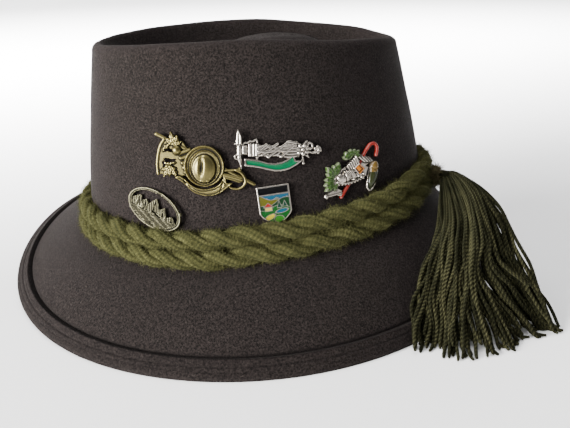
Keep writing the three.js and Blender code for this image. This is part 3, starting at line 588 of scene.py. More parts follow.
# Fuzz: hairs that stand off or lie along a surface, each tip = root + length * (way out * (1 -
# lean / 2) + a random direction * lean), turned to the surface's outer side and kept off the table
def buildFuzz(name, points, outwards, material, slot, count, length, width, lean, low=0.05):
    pick = chance.choice(len(points), count)
    away = unit(outwards[pick] * (1 - 0.5 * lean) + chance.normal(size=(count, 3)) * lean)
    away = away * np.where(np.sum(away * outwards[pick], -1, keepdims=True) < 0, -1, 1)
    size = length * chance.uniform(0.25, 1.0, count) ** 1.5
    tips = points[pick] + away * size[:, None]
    tips[:, 2] = np.maximum(tips[:, 2], low)
    shown, faces = hairs(points[pick], tips, width)
    shown[:, 2] = np.maximum(shown[:, 2], low)
    levels = {"relief": np.repeat(chance.uniform(0.6, 1.3, count), 3),
              "tint": np.repeat(chance.uniform(0.2, 1.2, count), 3)}
    finishPiece(makePiece(name, toFrame(shown), faces, material, levels), slot)
    print(name + ":", count, "hairs")


# Tassel: bundles of two-ply strands that spring from the neck, fall in a fan over the brim and
# end on the table. Guides run across the fan, each with its places from the neck to the table.
tassel = {
    "turn": 147.0, "bindingLength": 4.5, "bindingDiameter": 9.0, "neckDiameter": 6.0, "head": 8.0,
    "guides": [
        [(93, -57, 54.5), (84, -72, 47), (78, -87, 40), (66, -98, 34), (55, -107, 28), (48, -115, 20),
         (43, -121, 12), (38, -129, 4)],
        [(94, -59, 55), (85, -78, 49), (77, -93, 42), (67, -104, 35), (59, -112, 27), (52, -119, 18),
         (48, -125, 9), (42, -133, 1.5)],
        [(96, -59, 55.5), (88, -82, 51), (82, -97, 45), (74, -108, 37), (67, -115, 29), (62, -120, 19),
         (58, -125, 9.5), (53, -131, 1)],
        [(98, -60, 56), (92, -83, 53), (86, -101, 47), (78, -114, 39), (72, -122, 30), (66, -128, 20),
         (61, -133, 9.5), (56, -142, 1)],
        [(99, -60, 57), (97, -82, 54.5), (91, -101, 49), (84, -115, 41), (77, -123, 31), (75, -130, 21),
         (74, -137, 10), (72, -145, 1)],
        [(100, -60, 57.5), (101, -80, 55.5), (97, -98, 50), (93, -112, 42), (88, -121, 32),
         (88, -129, 22), (90, -135, 11), (92, -142, 1)],
        [(101, -61, 57), (104, -79, 55.5), (104, -95, 51), (103, -107, 43), (100, -117, 33),
         (100, -124, 23), (103, -130, 12), (107, -136, 1)],
        [(101, -62, 57), (104, -82, 55.5), (105, -99, 51.5), (106, -112, 44), (106, -122, 35),
         (105, -130, 24), (108, -136, 12), (111, -141, 1)],
    ],
    # place across the guides, sweep to the right on the way down, reach, depth, strands, bow
    "bundles": [
        (1.2, 0.0, 0.97, 4.4, 7, 0), (1.8, 0.2, 0.98, 4.4, 7, 0), (2.4, 0.6, 0.98, 4.2, 7, 0),
        (3.0, 1.0, 0.98, 4.0, 7, 0), (3.4, 1.3, 0.98, 3.8, 7, 0), (3.8, 1.6, 0.99, 3.6, 7, 0),
        (4.7, 1.4, 0.99, 3.4, 7, 0), (5.3, 1.0, 0.98, 3.4, 7, 0), (0.8, 0.0, 1.02, 0.8, 7, 0),
        (1.2, 0.1, 1.04, 0.0, 7, 0), (1.6, 0.1, 1.01, 0.6, 7, 0), (2.0, 0.2, 1.05, 0.0, 7, 0),
        (2.4, 0.4, 1.06, 0.3, 7, 0), (2.8, 0.7, 1.05, 0.8, 7, 0), (3.2, 1.0, 1.05, 0.0, 7, 0),
        (3.6, 1.3, 1.06, 0.5, 7, 0), (4.0, 1.6, 1.05, 0.0, 7, 0), (4.4, 1.8, 1.05, 0.3, 7, 0),
        (4.9, 1.6, 1.04, 0.0, 7, 0), (5.4, 1.3, 1.05, 0.3, 7, 0), (5.8, 0.9, 1.05, 0.2, 6, 0),
        (5.9, 0.9, 1.03, -0.3, 1, 0.6), (6.0, 0.8, 0.99, -0.3, 1, 1.3), (6.1, 0.8, 0.96, -0.3, 1, 2.2),
        (4.5, 0.4, 0.8, -0.8, 1, 0),
    ],
    "bundleRadius": 1.9, "bundleTurn": 0.55,
    "scatter": 0.12,           # uneven places of the strands, in guides
    "fanning": (0.6, 1.3),     # least and most share of the bundle's sweep that a strand takes
    "ragged": (-0.045, 0.02),  # how much shorter or longer a strand may be, as a share
    "rootScatter": 0.8,
    "front": (0.1, -0.75, 0.65),       # the way that the fan's face looks
    "droop": 1.4,              # how far the fan's middle hangs to the left
    "lastEnd": (12.0, 0, 4.0),         # how far the end of the last strand strays
    "steps": 98, "sides": 6, "radius": 0.84,
    "twist": 2.1,              # length of one mark of the yarn's twist
    "sway": 1.0, "stray": 1.5,
    "fuzz": {"count": 44000, "length": 2.4, "width": 0.1, "lean": 0.8},
    "colours": ((0.0003, 0.0003, 0.0001), (0.0044, 0.0045, 0.0018), (0.042, 0.04, 0.019)), "marks": 1.3,
}


def tasselPlaces():
    point, along, rise, out = ropeCentre(math.radians(tassel["turn"]), 0.5)
    level = unit(out * [1, 1, 0])
    start = point + level * (rope["depth"] / 2 + clearance)
    lockStart = start + level * (tassel["bindingLength"] + clearance + tassel["head"] * 0.3)
    return start, level, lockStart


# What lies under a point: the brim with its welt, and past its edge the table
def restHeight(points, margin):
    turn = np.arctan2(-points[..., 1] / edgeLoop["width"],
                      -(points[..., 0] - edgeLoop["shift"]) / edgeLoop["length"])
    flat = np.array([1, 1, 0])
    foot = footPoint(turn) * flat
    span = edgePoint(turn) * flat - foot
    length = np.linalg.norm(span, axis=-1)
    out = np.sum((points * flat - foot) * span, -1) / length ** 2
    brimTop = brimPoint(turn, np.clip(out, 0, 1))[..., 2] + 1.3 * brim["weltRise"]
    past = (out - 1) * length - edgeRadius
    return np.where(past > margin, 0.1, brimTop)


# Strand = guide course at its bundle's place, which sweeps across the guides on the way down, +
# bundle radius * (cos a across + sin a towards the front), with a turning slowly along the
# bundle, + a sway of the bundle and one of its own, and kept on top of the brim and the table
def strandPaths():
    _, level, lockStart = tasselPlaces()
    dice = np.random.default_rng(9)
    guides, steps = np.array(tassel["guides"], float), tassel["steps"]
    table = np.array(tassel["bundles"])
    sizes = table[:, 4].astype(int)
    bundle = np.repeat(np.arange(len(table)), sizes)
    place = np.concatenate([np.arange(size) for size in sizes])
    count = len(bundle)
    side, sweep, reach, depth, _, bow = table[bundle].T
    side = side + dice.normal(0, tassel["scatter"], count)
    sweep = sweep * dice.uniform(*tassel["fanning"], count)
    courses = []
    for station in range(guides.shape[1]):
        across = np.clip(side + sweep * ease(station, 1.5, guides.shape[1] - 1), 0, len(guides) - 1)
        courses.append(smoothTable(np.arange(len(guides)), guides[:, station], across))
    root = lockStart - level * tassel["head"] * 0.35 + dice.normal(0, tassel["rootScatter"], (count, 3))
    stations = np.stack([root, *courses], 1)
    number = np.arange(stations.shape[1])
    run = np.linspace(0, 1, steps)
    far = number[-1] * reach * (1 + dice.uniform(*tassel["ragged"], count))
    path = np.stack([smoothTable(number, stations[k], far[k] * run ** 0.85) for k in range(count)])
    along = unit(np.gradient(path, axis=1))
    front = np.array(tassel["front"])
    normal = unit(front - along * np.sum(along * front, -1, keepdims=True))
    across = np.cross(normal, along)
    phase = dice.uniform(0, 2 * math.pi, len(table))[bundle]
    spin = phase + 2 * math.pi * place / np.maximum(sizes[bundle] - 1, 1)
    hand = dice.choice([-1, 1], len(table))[bundle][:, None]      # way in which a bundle winds
    spin = spin[:, None] + 2 * math.pi * tassel["bundleTurn"] * run[None] * hand
    wide = np.where(place < sizes[bundle] - 1, tassel["bundleRadius"], 0.2)     # the last lies inside
    wide = wide[:, None] * (0.55 + 0.6 * run[None])
    shared = np.stack([sway(4 * run, (1, 2), 80 + k) for k in range(len(table))])[bundle]
    own = np.stack([sway(6 * run, (1, 2, 3), 160 + k) for k in range(count)])
    grown = ease(run, 0.05, 0.45)[None]
    arc = np.sin(math.pi * run[None])
    strays = grown * (tassel["sway"] * shared + tassel["stray"] * own * (0.4 + run[None]))
    sideways = wide * np.cos(spin) + strays + bow[:, None] * arc ** 0.8 - tassel["droop"] * arc ** 0.7
    sunk = (depth[:, None] + tassel["bundleRadius"]) * (ease(run, 0, 0.3) - 0.75 * ease(run, 0.6, 1))[None]
    inwards = wide * np.sin(spin) - sunk
    path = path + across * sideways[..., None] + normal * inwards[..., None]
    path[-1] += np.array(tassel["lastEnd"]) * ease(run, 0.6, 1)[:, None]
    floor = restHeight(path, tassel["radius"]) + tassel["radius"]
    path[..., 2] = np.maximum(path[..., 2], floor)
    kernel = np.hanning(11) / np.hanning(11).sum()        # even out the kink where a strand meets the brim
    padded = np.pad(path[..., 2], ((0, 0), (5, 5)), mode="edge")
    path[..., 2] = np.stack([np.convolve(row, kernel, "valid") for row in padded])
    return path


# Each strand is a tube, thin where it leaves the neck and at its end
def buildTassel(material):
    path = strandPaths()
    count, steps = path.shape[:2]
    dice = np.random.default_rng(12)
    length = np.linalg.norm(np.diff(path, axis=1), axis=-1).cumsum(1)
    length = np.concatenate([np.zeros((count, 1)), length], 1) + dice.uniform(0, 6, count)[:, None]
    angle = 2 * math.pi * np.arange(tassel["sides"]) / tassel["sides"]
    run = np.arange(steps)
    thin = 0.55 + 0.45 * ease(run, 2, 40) - 0.3 * ease(run, steps - 5, steps)
    radius = tassel["radius"] * dice.uniform(0.84, 1.08, count)[:, None] * thin[None]
    points, faces = tubes(path, radius, tassel["sides"])
    points[:, 2] = np.maximum(points[:, 2], 0.05)
    block = len(points) // count
    closed = lambda values: np.concatenate([values.reshape(count, -1), np.zeros((count, 2))], 1)
    flat = np.ones((count, steps, 1))
    levels = {"markCos": closed(flat * np.cos(2 * angle)), "markSine": closed(flat * np.sin(2 * angle)),
              "stroke": closed(length[..., None] / tassel["twist"] * np.ones(tassel["sides"])),
              "relief": np.full(count * block, 0.5),
              "tint": np.repeat(dice.uniform(-0.1, 1.1, count), block)}
    piece = makePiece("tassel_strands", toFrame(points), faces, material, levels, outward=True)
    print("tassel:", count, "strands,", 2 * len(piece.data.polygons), "triangles")
    finishPiece(piece, "tassel_wool", "tassel")
    middle = np.repeat(path.reshape(-1, 3), tassel["sides"], 0)
    shell = points.reshape(count, -1, 3)[:, :-2].reshape(-1, 3)
    return shell, unit(shell - middle)


# Binding: yarn wound round the neck, centre line = neck + radius (cos, sin) + advance along it
binding = {
    "turns": 4, "steps": 160, "sides": 10, "yarnRadius": 0.95, "sunk": 0.6, "swell": 0.08,
    "fuzz": {"count": 1600, "length": 6.0, "width": 0.34, "lean": 0.9},
    "colours": ((0.012, 0.01, 0.0052), (0.052, 0.044, 0.022), (0.14, 0.12, 0.062)), "marks": 0.3,
}


def buildBinding(material):
    start, level, _ = tasselPlaces()
    across = unit(np.cross(level, [0, 0, 1.0]))
    above = np.cross(across, level)
    t = np.linspace(0, 1, binding["steps"])
    angle = 2 * math.pi * binding["turns"] * t
    radius = tassel["bindingDiameter"] / 2 - binding["sunk"]
    path = start + np.outer(binding["sunk"] + (tassel["bindingLength"] - 1.0) * t, level)
    path = path + radius * (np.outer(np.cos(angle), across) + np.outer(np.sin(angle), above))
    swell = 1 + binding["swell"] * np.sin(8 * angle)
    points, faces = tubes(path[None], (binding["yarnRadius"] * swell)[None], binding["sides"], up=level)
    levels = dict.fromkeys(("relief", "tint"), np.full(len(points), 0.5))
    piece = makePiece("tassel_binding_yarn", toFrame(points), faces, material, levels, outward=True)
    finishPiece(piece, "binding_wool", "tassel_binding")
    print("binding:", binding["turns"], "turns")
    axis = start + np.outer((points - start) @ level, level)
    return points, unit(points - axis)


# Neck: a short rounded core of yarn inside the binding and the head that the strands leave,
# radius = half the neck + swell * sin(pi t) past the binding - closing at the end
neck = {"steps": 24, "sides": 24, "sag": 1.2, "swell": 0.9, "close": 2.6, "flutes": 9, "fluteDepth": 0.05}


def buildNeck(material):
    start, level, _ = tasselPlaces()
    reach = tassel["bindingLength"] + tassel["head"] * 0.8
    t = np.linspace(0, 1, neck["steps"])
    path = start + np.outer(0.2 + reach * t, level)
    path[:, 2] -= neck["sag"] * t ** 2
    radius = tassel["neckDiameter"] / 2 + neck["swell"] * np.sin(math.pi * np.clip((t - 0.35) / 0.65, 0, 1))
    radius = radius - neck["close"] * ease(t, 0.75, 1)
    angle = 2 * math.pi * np.arange(neck["sides"]) / neck["sides"]
    points, faces = tubes(path[None], radius[None], neck["sides"],
                          1 + neck["fluteDepth"] * np.cos(neck["flutes"] * angle))
    levels = dict.fromkeys(("relief", "tint"), np.full(len(points), 0.4))
    finishPiece(makePiece("tassel_neck", toFrame(points), faces, material, levels, outward=True),
                "tassel_wool")


feltPaint = feltFinish()
ropePaint = woolFinish("rope wool", rope["colours"], rope["marks"])
tasselPaint = woolFinish("tassel wool", tassel["colours"], tassel["marks"], wound=True)
bindingPaint = woolFinish("binding wool", binding["colours"], binding["marks"])

buildFuzz("felt_fuzz", *buildFelt(feltPaint), feltPaint, "felt", **felt["fuzz"])
for ropeLevel, nodeName in enumerate(("rope_lower", "rope_upper")):
    ropeSkin = buildRope(nodeName, ropeLevel, ropePaint)
    buildFuzz(nodeName + "_fuzz", *ropeSkin, ropePaint, "rope_wool", **rope["fuzz"])
buildFuzz("tassel_binding_fuzz", *buildBinding(bindingPaint), bindingPaint, "binding_wool",
          **binding["fuzz"])
buildNeck(tasselPaint)
buildFuzz("tassel_fuzz", *buildTassel(tasselPaint), tasselPaint, "tassel_wool", **tassel["fuzz"])


# Relief of a casting: the height of its front over a grid, in millimetres, and the signed
# distance to its outline, negative inside. Shapes are given in shares of the pin's length.
class Relief:
    def __init__(self, length, box, step):
        self.length, self.step = length, step
        left, right, low, high = np.array(box) * length
        self.x, self.y = np.meshgrid(np.arange(left, right, step), np.arange(low, high, step))
        self.top = np.full(self.x.shape, -1.0)
        self.edge = np.full(self.x.shape, 9.0)
        self.paint = np.zeros(self.x.shape + (3,))
        self.enamel = np.zeros(self.x.shape)

    # The higher of what is there and a new shape; outlines join
    def put(self, distance, height, colour=None):
        self.edge = np.minimum(self.edge, distance)
        wins = (distance < 0.6 * self.step) & (height > self.top)
        self.top = np.where(wins, height, self.top)
        self.enamel = np.where(wins, 0.0 if colour is None else 1.0, self.enamel)
        if colour is not None:
            self.paint = np.where(wins[..., None], colour, self.paint)

    def colourIn(self, distance, colour):
        inside = distance < 0
        self.paint = np.where(inside[..., None], colour, self.paint)
        self.enamel = np.where(inside, 1.0, self.enamel)

    # Distance to a segment and the share t along it: |p - a - t (b - a)|, t = (p - a).(b - a) / |b - a|^2
    def segment(self, start, end):
        a, b = np.array(start) * self.length, np.array(end) * self.length
        d = b - a
        t = np.clip(((self.x - a[0]) * d[0] + (self.y - a[1]) * d[1]) / max(d @ d, 1e-9), 0, 1)
        return np.hypot(self.x - a[0] - t * d[0], self.y - a[1] - t * d[1]), t

    def line(self, places):
        best, along = np.full(self.x.shape, 99.0), np.zeros(self.x.shape)
        for k in range(len(places) - 1):
            gap, t = self.segment(places[k], places[k + 1])
            nearer = gap < best
            best = np.where(nearer, gap, best)
            along = np.where(nearer, (k + t) / (len(places) - 1), along)
        return best, along

    # Signed distance to a polygon: distance to its sides, negative where a ray crosses them oddly
    def polygon(self, outline):
        best, _ = self.line([*outline, outline[0]])
        inside = np.zeros(self.x.shape, bool)
        corners = np.array(outline) * self.length
        for a, b in zip(corners, np.roll(corners, -1, 0)):
            spans = (a[1] > self.y) != (b[1] > self.y)
            inside ^= spans & (self.x < (b[0] - a[0]) * (self.y - a[1]) / (b[1] - a[1] + 1e-12) + a[0])
        return np.where(inside, -best, best)

    # Reach over an oval, 1 on its edge, and about the signed distance to it
    def oval(self, x, y, halfX, halfY, tilt=0.0):
        c, s = math.cos(math.radians(tilt)), math.sin(math.radians(tilt))
        u, v = self.x - x * self.length, self.y - y * self.length
        reach = np.hypot((u * c + v * s) / (halfX * self.length), (v * c - u * s) / (halfY * self.length))
        return reach, (reach - 1) * min(halfX, halfY) * self.length

    # Rod: height + sqrt(thick^2 - gap^2) over its middle line, thick from radius to tip along it
    def rod(self, course, radius, height, tip, colour):
        gap, t = course
        thick = radius + ((radius if tip is None else tip) - radius) * t
        self.put(gap - thick, height + np.sqrt(np.maximum(thick ** 2 - gap ** 2, 0)), colour)

    def bar(self, start, end, radius, height=0.0, tip=None, colour=None):
        self.rod(self.segment(start, end), radius, height, tip, colour)

    def wire(self, places, radius, height=0.0, tip=None, colour=None):
        self.rod(self.line(smoothPath(places)), radius, height, tip, colour)

    # Dome: height + rise * (1 - reach^2)^power
    def dome(self, x, y, halfX, halfY, rise, height=0.0, tilt=0.0, colour=None, power=0.5):
        reach, distance = self.oval(x, y, halfX, halfY, tilt)
        self.put(distance, height + rise * np.maximum(1 - reach ** 2, 0) ** power, colour)

    # Slab: flat at its top height, its edge falling by bevel * (1 - distance / bevel)^2
    def slab(self, outline, top, bevel=0.3, colour=None):
        distance = self.polygon(outline)
        self.put(distance, top - bevel * (1 - np.clip(-distance / bevel, 0, 1)) ** 2, colour)
        return distance

    # Leaf: half width * sin(pi * t^blunt) wide at t along its rib, rounded, with notches in its
    # edge, a groove on its rib and slanting veins
    def leaf(self, start, end, half, rise, height=0.0, veins=6, lobes=0, colour=None, blunt=0.8):
        a, b = np.array(start) * self.length, np.array(end) * self.length
        d = b - a
        size = np.linalg.norm(d)
        t = ((self.x - a[0]) * d[0] + (self.y - a[1]) * d[1]) / size ** 2
        v = ((self.y - a[1]) * d[0] - (self.x - a[0]) * d[1]) / size
        inside = np.clip(t, 0, 1)
        wide = half * self.length * np.sin(math.pi * inside ** blunt)
        if lobes:
            wide = wide * (0.78 + 0.22 * np.cos(2 * math.pi * lobes * inside))
        reach = np.abs(v) / np.maximum(wide, 1e-3)
        distance = np.maximum(np.abs(v) - wide, np.maximum(-t, t - 1) * size)
        body = rise * np.sqrt(np.maximum(1 - reach ** 2, 0)) - 0.28 * rise * np.exp(-((v / 0.16) ** 2))
        vein = np.cos(2 * math.pi * veins * (inside - 0.35 * np.abs(v) / size))
        body = body - 0.16 * rise * (0.5 + 0.5 * vein)
        self.put(distance, height + body, colour)

    # Groove: depth * exp(-(gap / width)^2) off what is there
    def groove(self, gap, width, depth, where=True):
        self.top = np.where(where, self.top - depth * np.exp(-((gap / width) ** 2)), self.top)

    def pierce(self, distance):
        self.edge = np.maximum(self.edge, -distance)

    # Closed mesh: the cells inside the outline as front and back, a wall between the two round
    # every border; points beside the outline are moved onto it along its slope
    def build(self, name, place, material, low=0.0):
        slopeY, slopeX = np.gradient(self.edge, self.step)
        slope = np.maximum(slopeX ** 2 + slopeY ** 2, 0.2)
        near = np.abs(self.edge) < 0.9 * self.step
        shift = np.where(near, np.clip(self.edge / slope, -0.7 * self.step, 0.7 * self.step), 0)
        x, y = self.x - shift * slopeX, self.y - shift * slopeY
        height = np.where(self.top > low, self.top, low + 0.3)
        soft = height.copy()
        for _ in range(7):
            padded = np.pad(soft, 1, mode="edge")
            beside = padded[:-2, 1:-1] + padded[2:, 1:-1] + padded[1:-1, :-2] + padded[1:-1, 2:]
            soft = (beside + 2 * soft) / 6
        hollow = np.clip((soft - height) / 0.22, -1, 1)
        keep = (self.edge[:-1, :-1] + self.edge[1:, :-1] + self.edge[:-1, 1:] + self.edge[1:, 1:]) < 0
        across = self.x.shape[1]
        i, j = np.nonzero(keep)
        a = i * across + j
        front = np.stack([a, a + 1, a + across + 1, a + across], 1)
        framed = np.pad(keep, 1)
        sides = []
        for shiftI, shiftJ, first, second in ((-1, 0, a, a + 1), (0, 1, a + 1, a + across + 1),
                                              (1, 0, a + across + 1, a + across), (0, -1, a + across, a)):
            border = ~framed[i + 1 + shiftI, j + 1 + shiftJ]
            sides.append(np.stack([first[border], second[border]], 1))
        sides = np.concatenate(sides)
        used, renamed = np.unique(front, return_inverse=True)
        number = np.zeros(self.x.size, np.int64)
        number[used] = np.arange(len(used))
        count = len(used)
        front = renamed.reshape(front.shape)
        wall = number[sides]
        wall = np.stack([wall[:, 0], wall[:, 0] + count, wall[:, 1] + count, wall[:, 1]], 1)
        flat = np.stack([x.ravel()[used], y.ravel()[used]], 1)
        face = np.concatenate([flat, height.ravel()[used][:, None]], 1)
        rear = np.concatenate([flat, np.full((count, 1), low)], 1)
        points = place(np.concatenate([face, rear]))
        twice = lambda values: np.concatenate([values.ravel()[used]] * 2)
        colours = {"paint": np.concatenate([self.paint.reshape(-1, 3)[used]] * 2)}
        piece = makePiece(name, toFrame(points), [front, front[:, ::-1] + count, wall], material,
                          {"hollow": twice(hollow), "enamel": twice(self.enamel)}, colours, outward=True)
        piece.data.set_sharp_from_angle(angle=math.radians(52))
        print(name + ":", 2 * len(piece.data.polygons), "triangles")
        return piece


# Smooth path through places, 6 points a span
def smoothPath(places):
    last = len(places) - 1
    return smoothTable(np.arange(last + 1), np.array(places, float), np.linspace(0, last, 6 * last + 1))


def roundOutline(places):  # smooth closed outline through places
    return smoothPath([*places, places[0]])[:-1]


pinSeats = {  # turn in degrees, middle's height over the ropes as a share of the length, tilt
    "hat": (62.9, 0.711, 0.0), "axe": (84.7, 0.886, -5.0), "badge": (45.6, 0.312, -21.9),
    "shield": (82.2, 0.473, 0.0), "boot": (107.9, 0.401, 0.0),
}


# Places on the crown wall for a pin: x along it, y up it, z out of it, in millimetres
def pinPlace(seat, length):
    turn, above, tilt = pinSeats[seat]
    turn, tilt = math.radians(turn), math.radians(tilt)
    ropeTop = rope["seat"] + 1.5 * rope["height"] + clearance
    wallHeight = np.linalg.norm(wallPoint(turn, 1.0) - wallPoint(turn, 0.0))
    share = (ropeTop + above * length) / wallHeight
    point, along, rise, out = (part.reshape(3) for part in wallFrame(turn, share))
    axes = np.stack([along * math.cos(tilt) + rise * math.sin(tilt),
                     rise * math.cos(tilt) - along * math.sin(tilt), out])
    base = point + out * (clearance + wallBulge(turn, share))
    return lambda local: base + local[:, :1] * axes[0] + local[:, 1:2] * axes[1] + local[:, 2:] * axes[2]


def setPin(relief, name, seat, material, slot, node, low=0.0):
    finishPiece(relief.build(name, pinPlace(seat, relief.length), material, low), slot, node)


# Antiqued metal: dark in its hollows, bright and smoother on its high places, with enamel
# where the piece is painted and, if thin, less of it on the painted piece's high places
def metalFinish(name, bright, dark, rough, thin=0.0):
    paint = Finish(name, Coat_Roughness=0.06, Specular_IOR_Level=0.2)
    where = paint.place()
    cloud = paint.noise(where, 420, 4, 0.6)
    scratch = paint.streaks((500, 3500, 3500), (0.2, 0.5, 0.9), 3, 0.6)
    hollow = paint.attribute("hollow")
    deep = paint.ramp(hollow * 0.5 + 0.5 + (cloud - 0.5) * 0.28, [(0.49, 0.0), (0.68, 1.0)])
    metal = paint.blend(deep, bright, dark)
    metal = paint.blend(cloud, metal, paint.blend(0.3, metal, dark))
    enamel = paint.attribute("enamel")
    if thin:
        raised = paint.ramp(hollow * -0.5 + 0.5 + (cloud - 0.5) * 0.5, [(0.62, 0.0), (0.85, 1.0)])
        enamel = enamel * (1 - thin * raised)
    colour = paint.blend(enamel, metal, paint.attribute("paint", "Color"))
    bump = paint.bump(cloud * 0.5 + scratch * 0.5, 0.0001, 0.5)
    return paint.set(Base_Color=colour, Metallic=(1 - enamel) * (1 - 0.45 * deep),
                     Roughness=(1 - enamel) * (rough + 0.35 * deep + 0.12 * cloud) + enamel * 0.22,
                     Coat_Weight=enamel * 0.15, Normal=bump)


# Brass pin: small round-brimmed hat on leaves, a walking stick behind, a plain banner below
hatPin = {
    "length": 46.0, "plate": 1.2, "stick": 0.9, "box": (-0.54, 0.54, -0.37, 0.37), "step": 0.2,
    "brim": (0.0, -0.03, 0.213), "crown": (0.0, -0.055, 0.125, 0.15),
}


def buildHatPin(material):
    length, plate = hatPin["length"], hatPin["plate"]
    pin = Relief(length, hatPin["box"], hatPin["step"])
    pin.bar((-0.485, 0.329), (0.501, -0.245), hatPin["stick"], hatPin["stick"] * 0.4)
    backing = [(-0.41, 0.28), (-0.47, 0.19), (-0.495, 0.1), (-0.51, 0), (-0.505, -0.08), (-0.36, -0.11),
               (-0.2, -0.12), (-0.12, -0.02), (-0.15, 0.13), (-0.21, 0.24), (-0.3, 0.28)]
    pin.slab(backing, plate * 0.7)
    rim = [(-0.404, 0.272), (-0.455, 0.2), (-0.488, 0.1), (-0.505, 0.0), (-0.502, -0.085)]
    pin.wire(rim, 0.62, plate * 0.7)
    # upper cluster of lobed leaves: the end of each and half its width
    for x, y, half in ((-0.325, 0.35, 0.04), (-0.255, 0.305, 0.042), (-0.385, 0.285, 0.04),
                       (-0.215, 0.235, 0.036)):
        pin.leaf((-0.305, 0.205), (x, y), half, 0.85, plate * 1.1, 5, 3)
    pin.leaf((-0.36, 0.22), (-0.435, 0.14), 0.035, 0.8, plate * 0.8, 5, 3)
    # lower cluster
    for x, y, half in ((-0.468, -0.05, 0.038), (-0.448, -0.122, 0.036), (-0.385, -0.125, 0.034),
                       (-0.305, -0.125, 0.04)):
        pin.leaf((-0.355, -0.005), (x, y), half, 0.85, plate * 1.15, 5, 3)
    pin.leaf((-0.3, 0.02), (-0.45, 0.03), 0.03, 0.7, plate, 5, 2)
    # folds that run from the bulb under the brim
    for k in range(5):
        start, end = (-0.255 + 0.012 * k, 0.115 - 0.05 * k), (-0.14 - 0.008 * k, 0.15 - 0.062 * k)
        pin.bar(start, end, 0.022 * length, plate * 0.75, tip=0.018 * length)
    pin.dome(-0.276, 0.15, 0.05, 0.052, 2.0, plate)
    for x, y in ((-0.362, 0.155), (-0.385, 0.055)):
        pin.pierce(pin.oval(x, y, 0.052, 0.02, -14)[1])
    pin.pierce(pin.oval(-0.35, 0.045, 0.06, 0.016, 12)[1])
    pin.pierce(pin.oval(-0.435, 0.015, 0.016, 0.04, 8)[1])
    # banner with raised borders, plain between them
    banner = [(-0.325, -0.135), (-0.24, -0.19), (-0.14, -0.295), (-0.02, -0.341), (0.08, -0.34),
              (0.156, -0.312), (0.285, -0.224), (0.228, -0.216), (0.211, -0.157), (0.13, -0.235),
              (0.04, -0.262), (-0.05, -0.262), (-0.14, -0.225), (-0.22, -0.15), (-0.28, -0.115)]
    distance = pin.slab(roundOutline(banner), plate * 1.75, 0.5)
    pin.groove(distance + 0.95, 0.3, 0.34, distance < 0.3)
    for fold in (((-0.225, -0.165), (-0.2, -0.235)), ((0.19, -0.185), (0.15, -0.3))):
        pin.groove(pin.segment(*fold)[0], 0.35, 0.5, distance < 0.1)
    # hat: turned-up brim, cord round the crown, crown with its long crease
    x, y, radius = hatPin["brim"]
    reach, distance = pin.oval(x, y, radius, radius)
    lip = 0.95 * np.exp(-(((reach - 0.955) * 9.7 / 0.55) ** 2))
    pin.put(distance, plate * 1.55 + lip - 0.35 * reach ** 2)
    inner, _ = pin.oval(x + 0.004, y - 0.012, 0.158, 0.172, -10)
    pin.groove((inner - 1.0) * 7.5, 0.26, -0.42, distance < 0)
    pin.groove((inner - 1.085) * 7.5, 0.3, 0.25, distance < 0)
    x, y, halfX, halfY = hatPin["crown"]
    pin.dome(x, y, halfX, halfY, 3.1, plate * 1.2, -8, power=0.42)
    crease, _ = pin.oval(x - 0.022, y + 0.015, 0.022, 0.085, -8)
    bulk, _ = pin.oval(x, y, halfX, halfY, -8)
    pin.groove(crease * 1.05, 1.0, 1.5, bulk < 0.94)
    pin.groove((bulk - 0.93) * 6, 0.28, -0.35, bulk < 1.1)
    for k in range(4):
        pin.dome(-0.035 + 0.022 * k, -0.175 - 0.007 * (k % 2), 0.016, 0.02, 0.8, plate * 2.2, 20 * k)
    # chain link, bar and hook at the stick's lower end
    pin.bar((0.2, -0.088), (0.372, -0.088), 0.62, plate * 0.9)
    pin.bar((0.372, -0.07), (0.372, -0.107), 0.42, plate)
    pin.bar((0.2, -0.135), (0.375, -0.192), 1.15, plate * 0.6)
    pin.bar((0.2, -0.155), (0.36, -0.212), 0.45, plate * 1.3)
    hook = [(0.33, -0.09), (0.385, -0.122), (0.42, -0.185), (0.405, -0.245), (0.345, -0.283),
            (0.285, -0.28), (0.252, -0.262)]
    pin.wire(hook, 0.72, plate * 0.9, tip=0.5)
    setPin(pin, "pin_brass_hat_casting", "hat", material, "brass", "pin_brass_hat")


# Silver pin: an ice axe with a rope bundled round its shaft, flowers and an enamelled ribbon
axePin = {"length": 38.5, "plate": 1.2, "border": 0.8, "box": (-0.57, 0.6, -0.3, 0.3), "step": 0.175,
          "enamelDrop": 0.25}
axeRibbon = [(-0.416, -0.095), (-0.32, -0.105), (-0.22, -0.125), (-0.12, -0.155), (-0.03, -0.162),
             (0.04, -0.152), (0.1, -0.13), (0.15, -0.095), (0.195, -0.055), (0.225, -0.135),
             (0.313, -0.134), (0.265, -0.175), (0.2, -0.212), (0.15, -0.238), (0.09, -0.255),
             (0.03, -0.263), (-0.03, -0.265), (-0.12, -0.245), (-0.22, -0.218), (-0.32, -0.2),
             (-0.412, -0.188)]


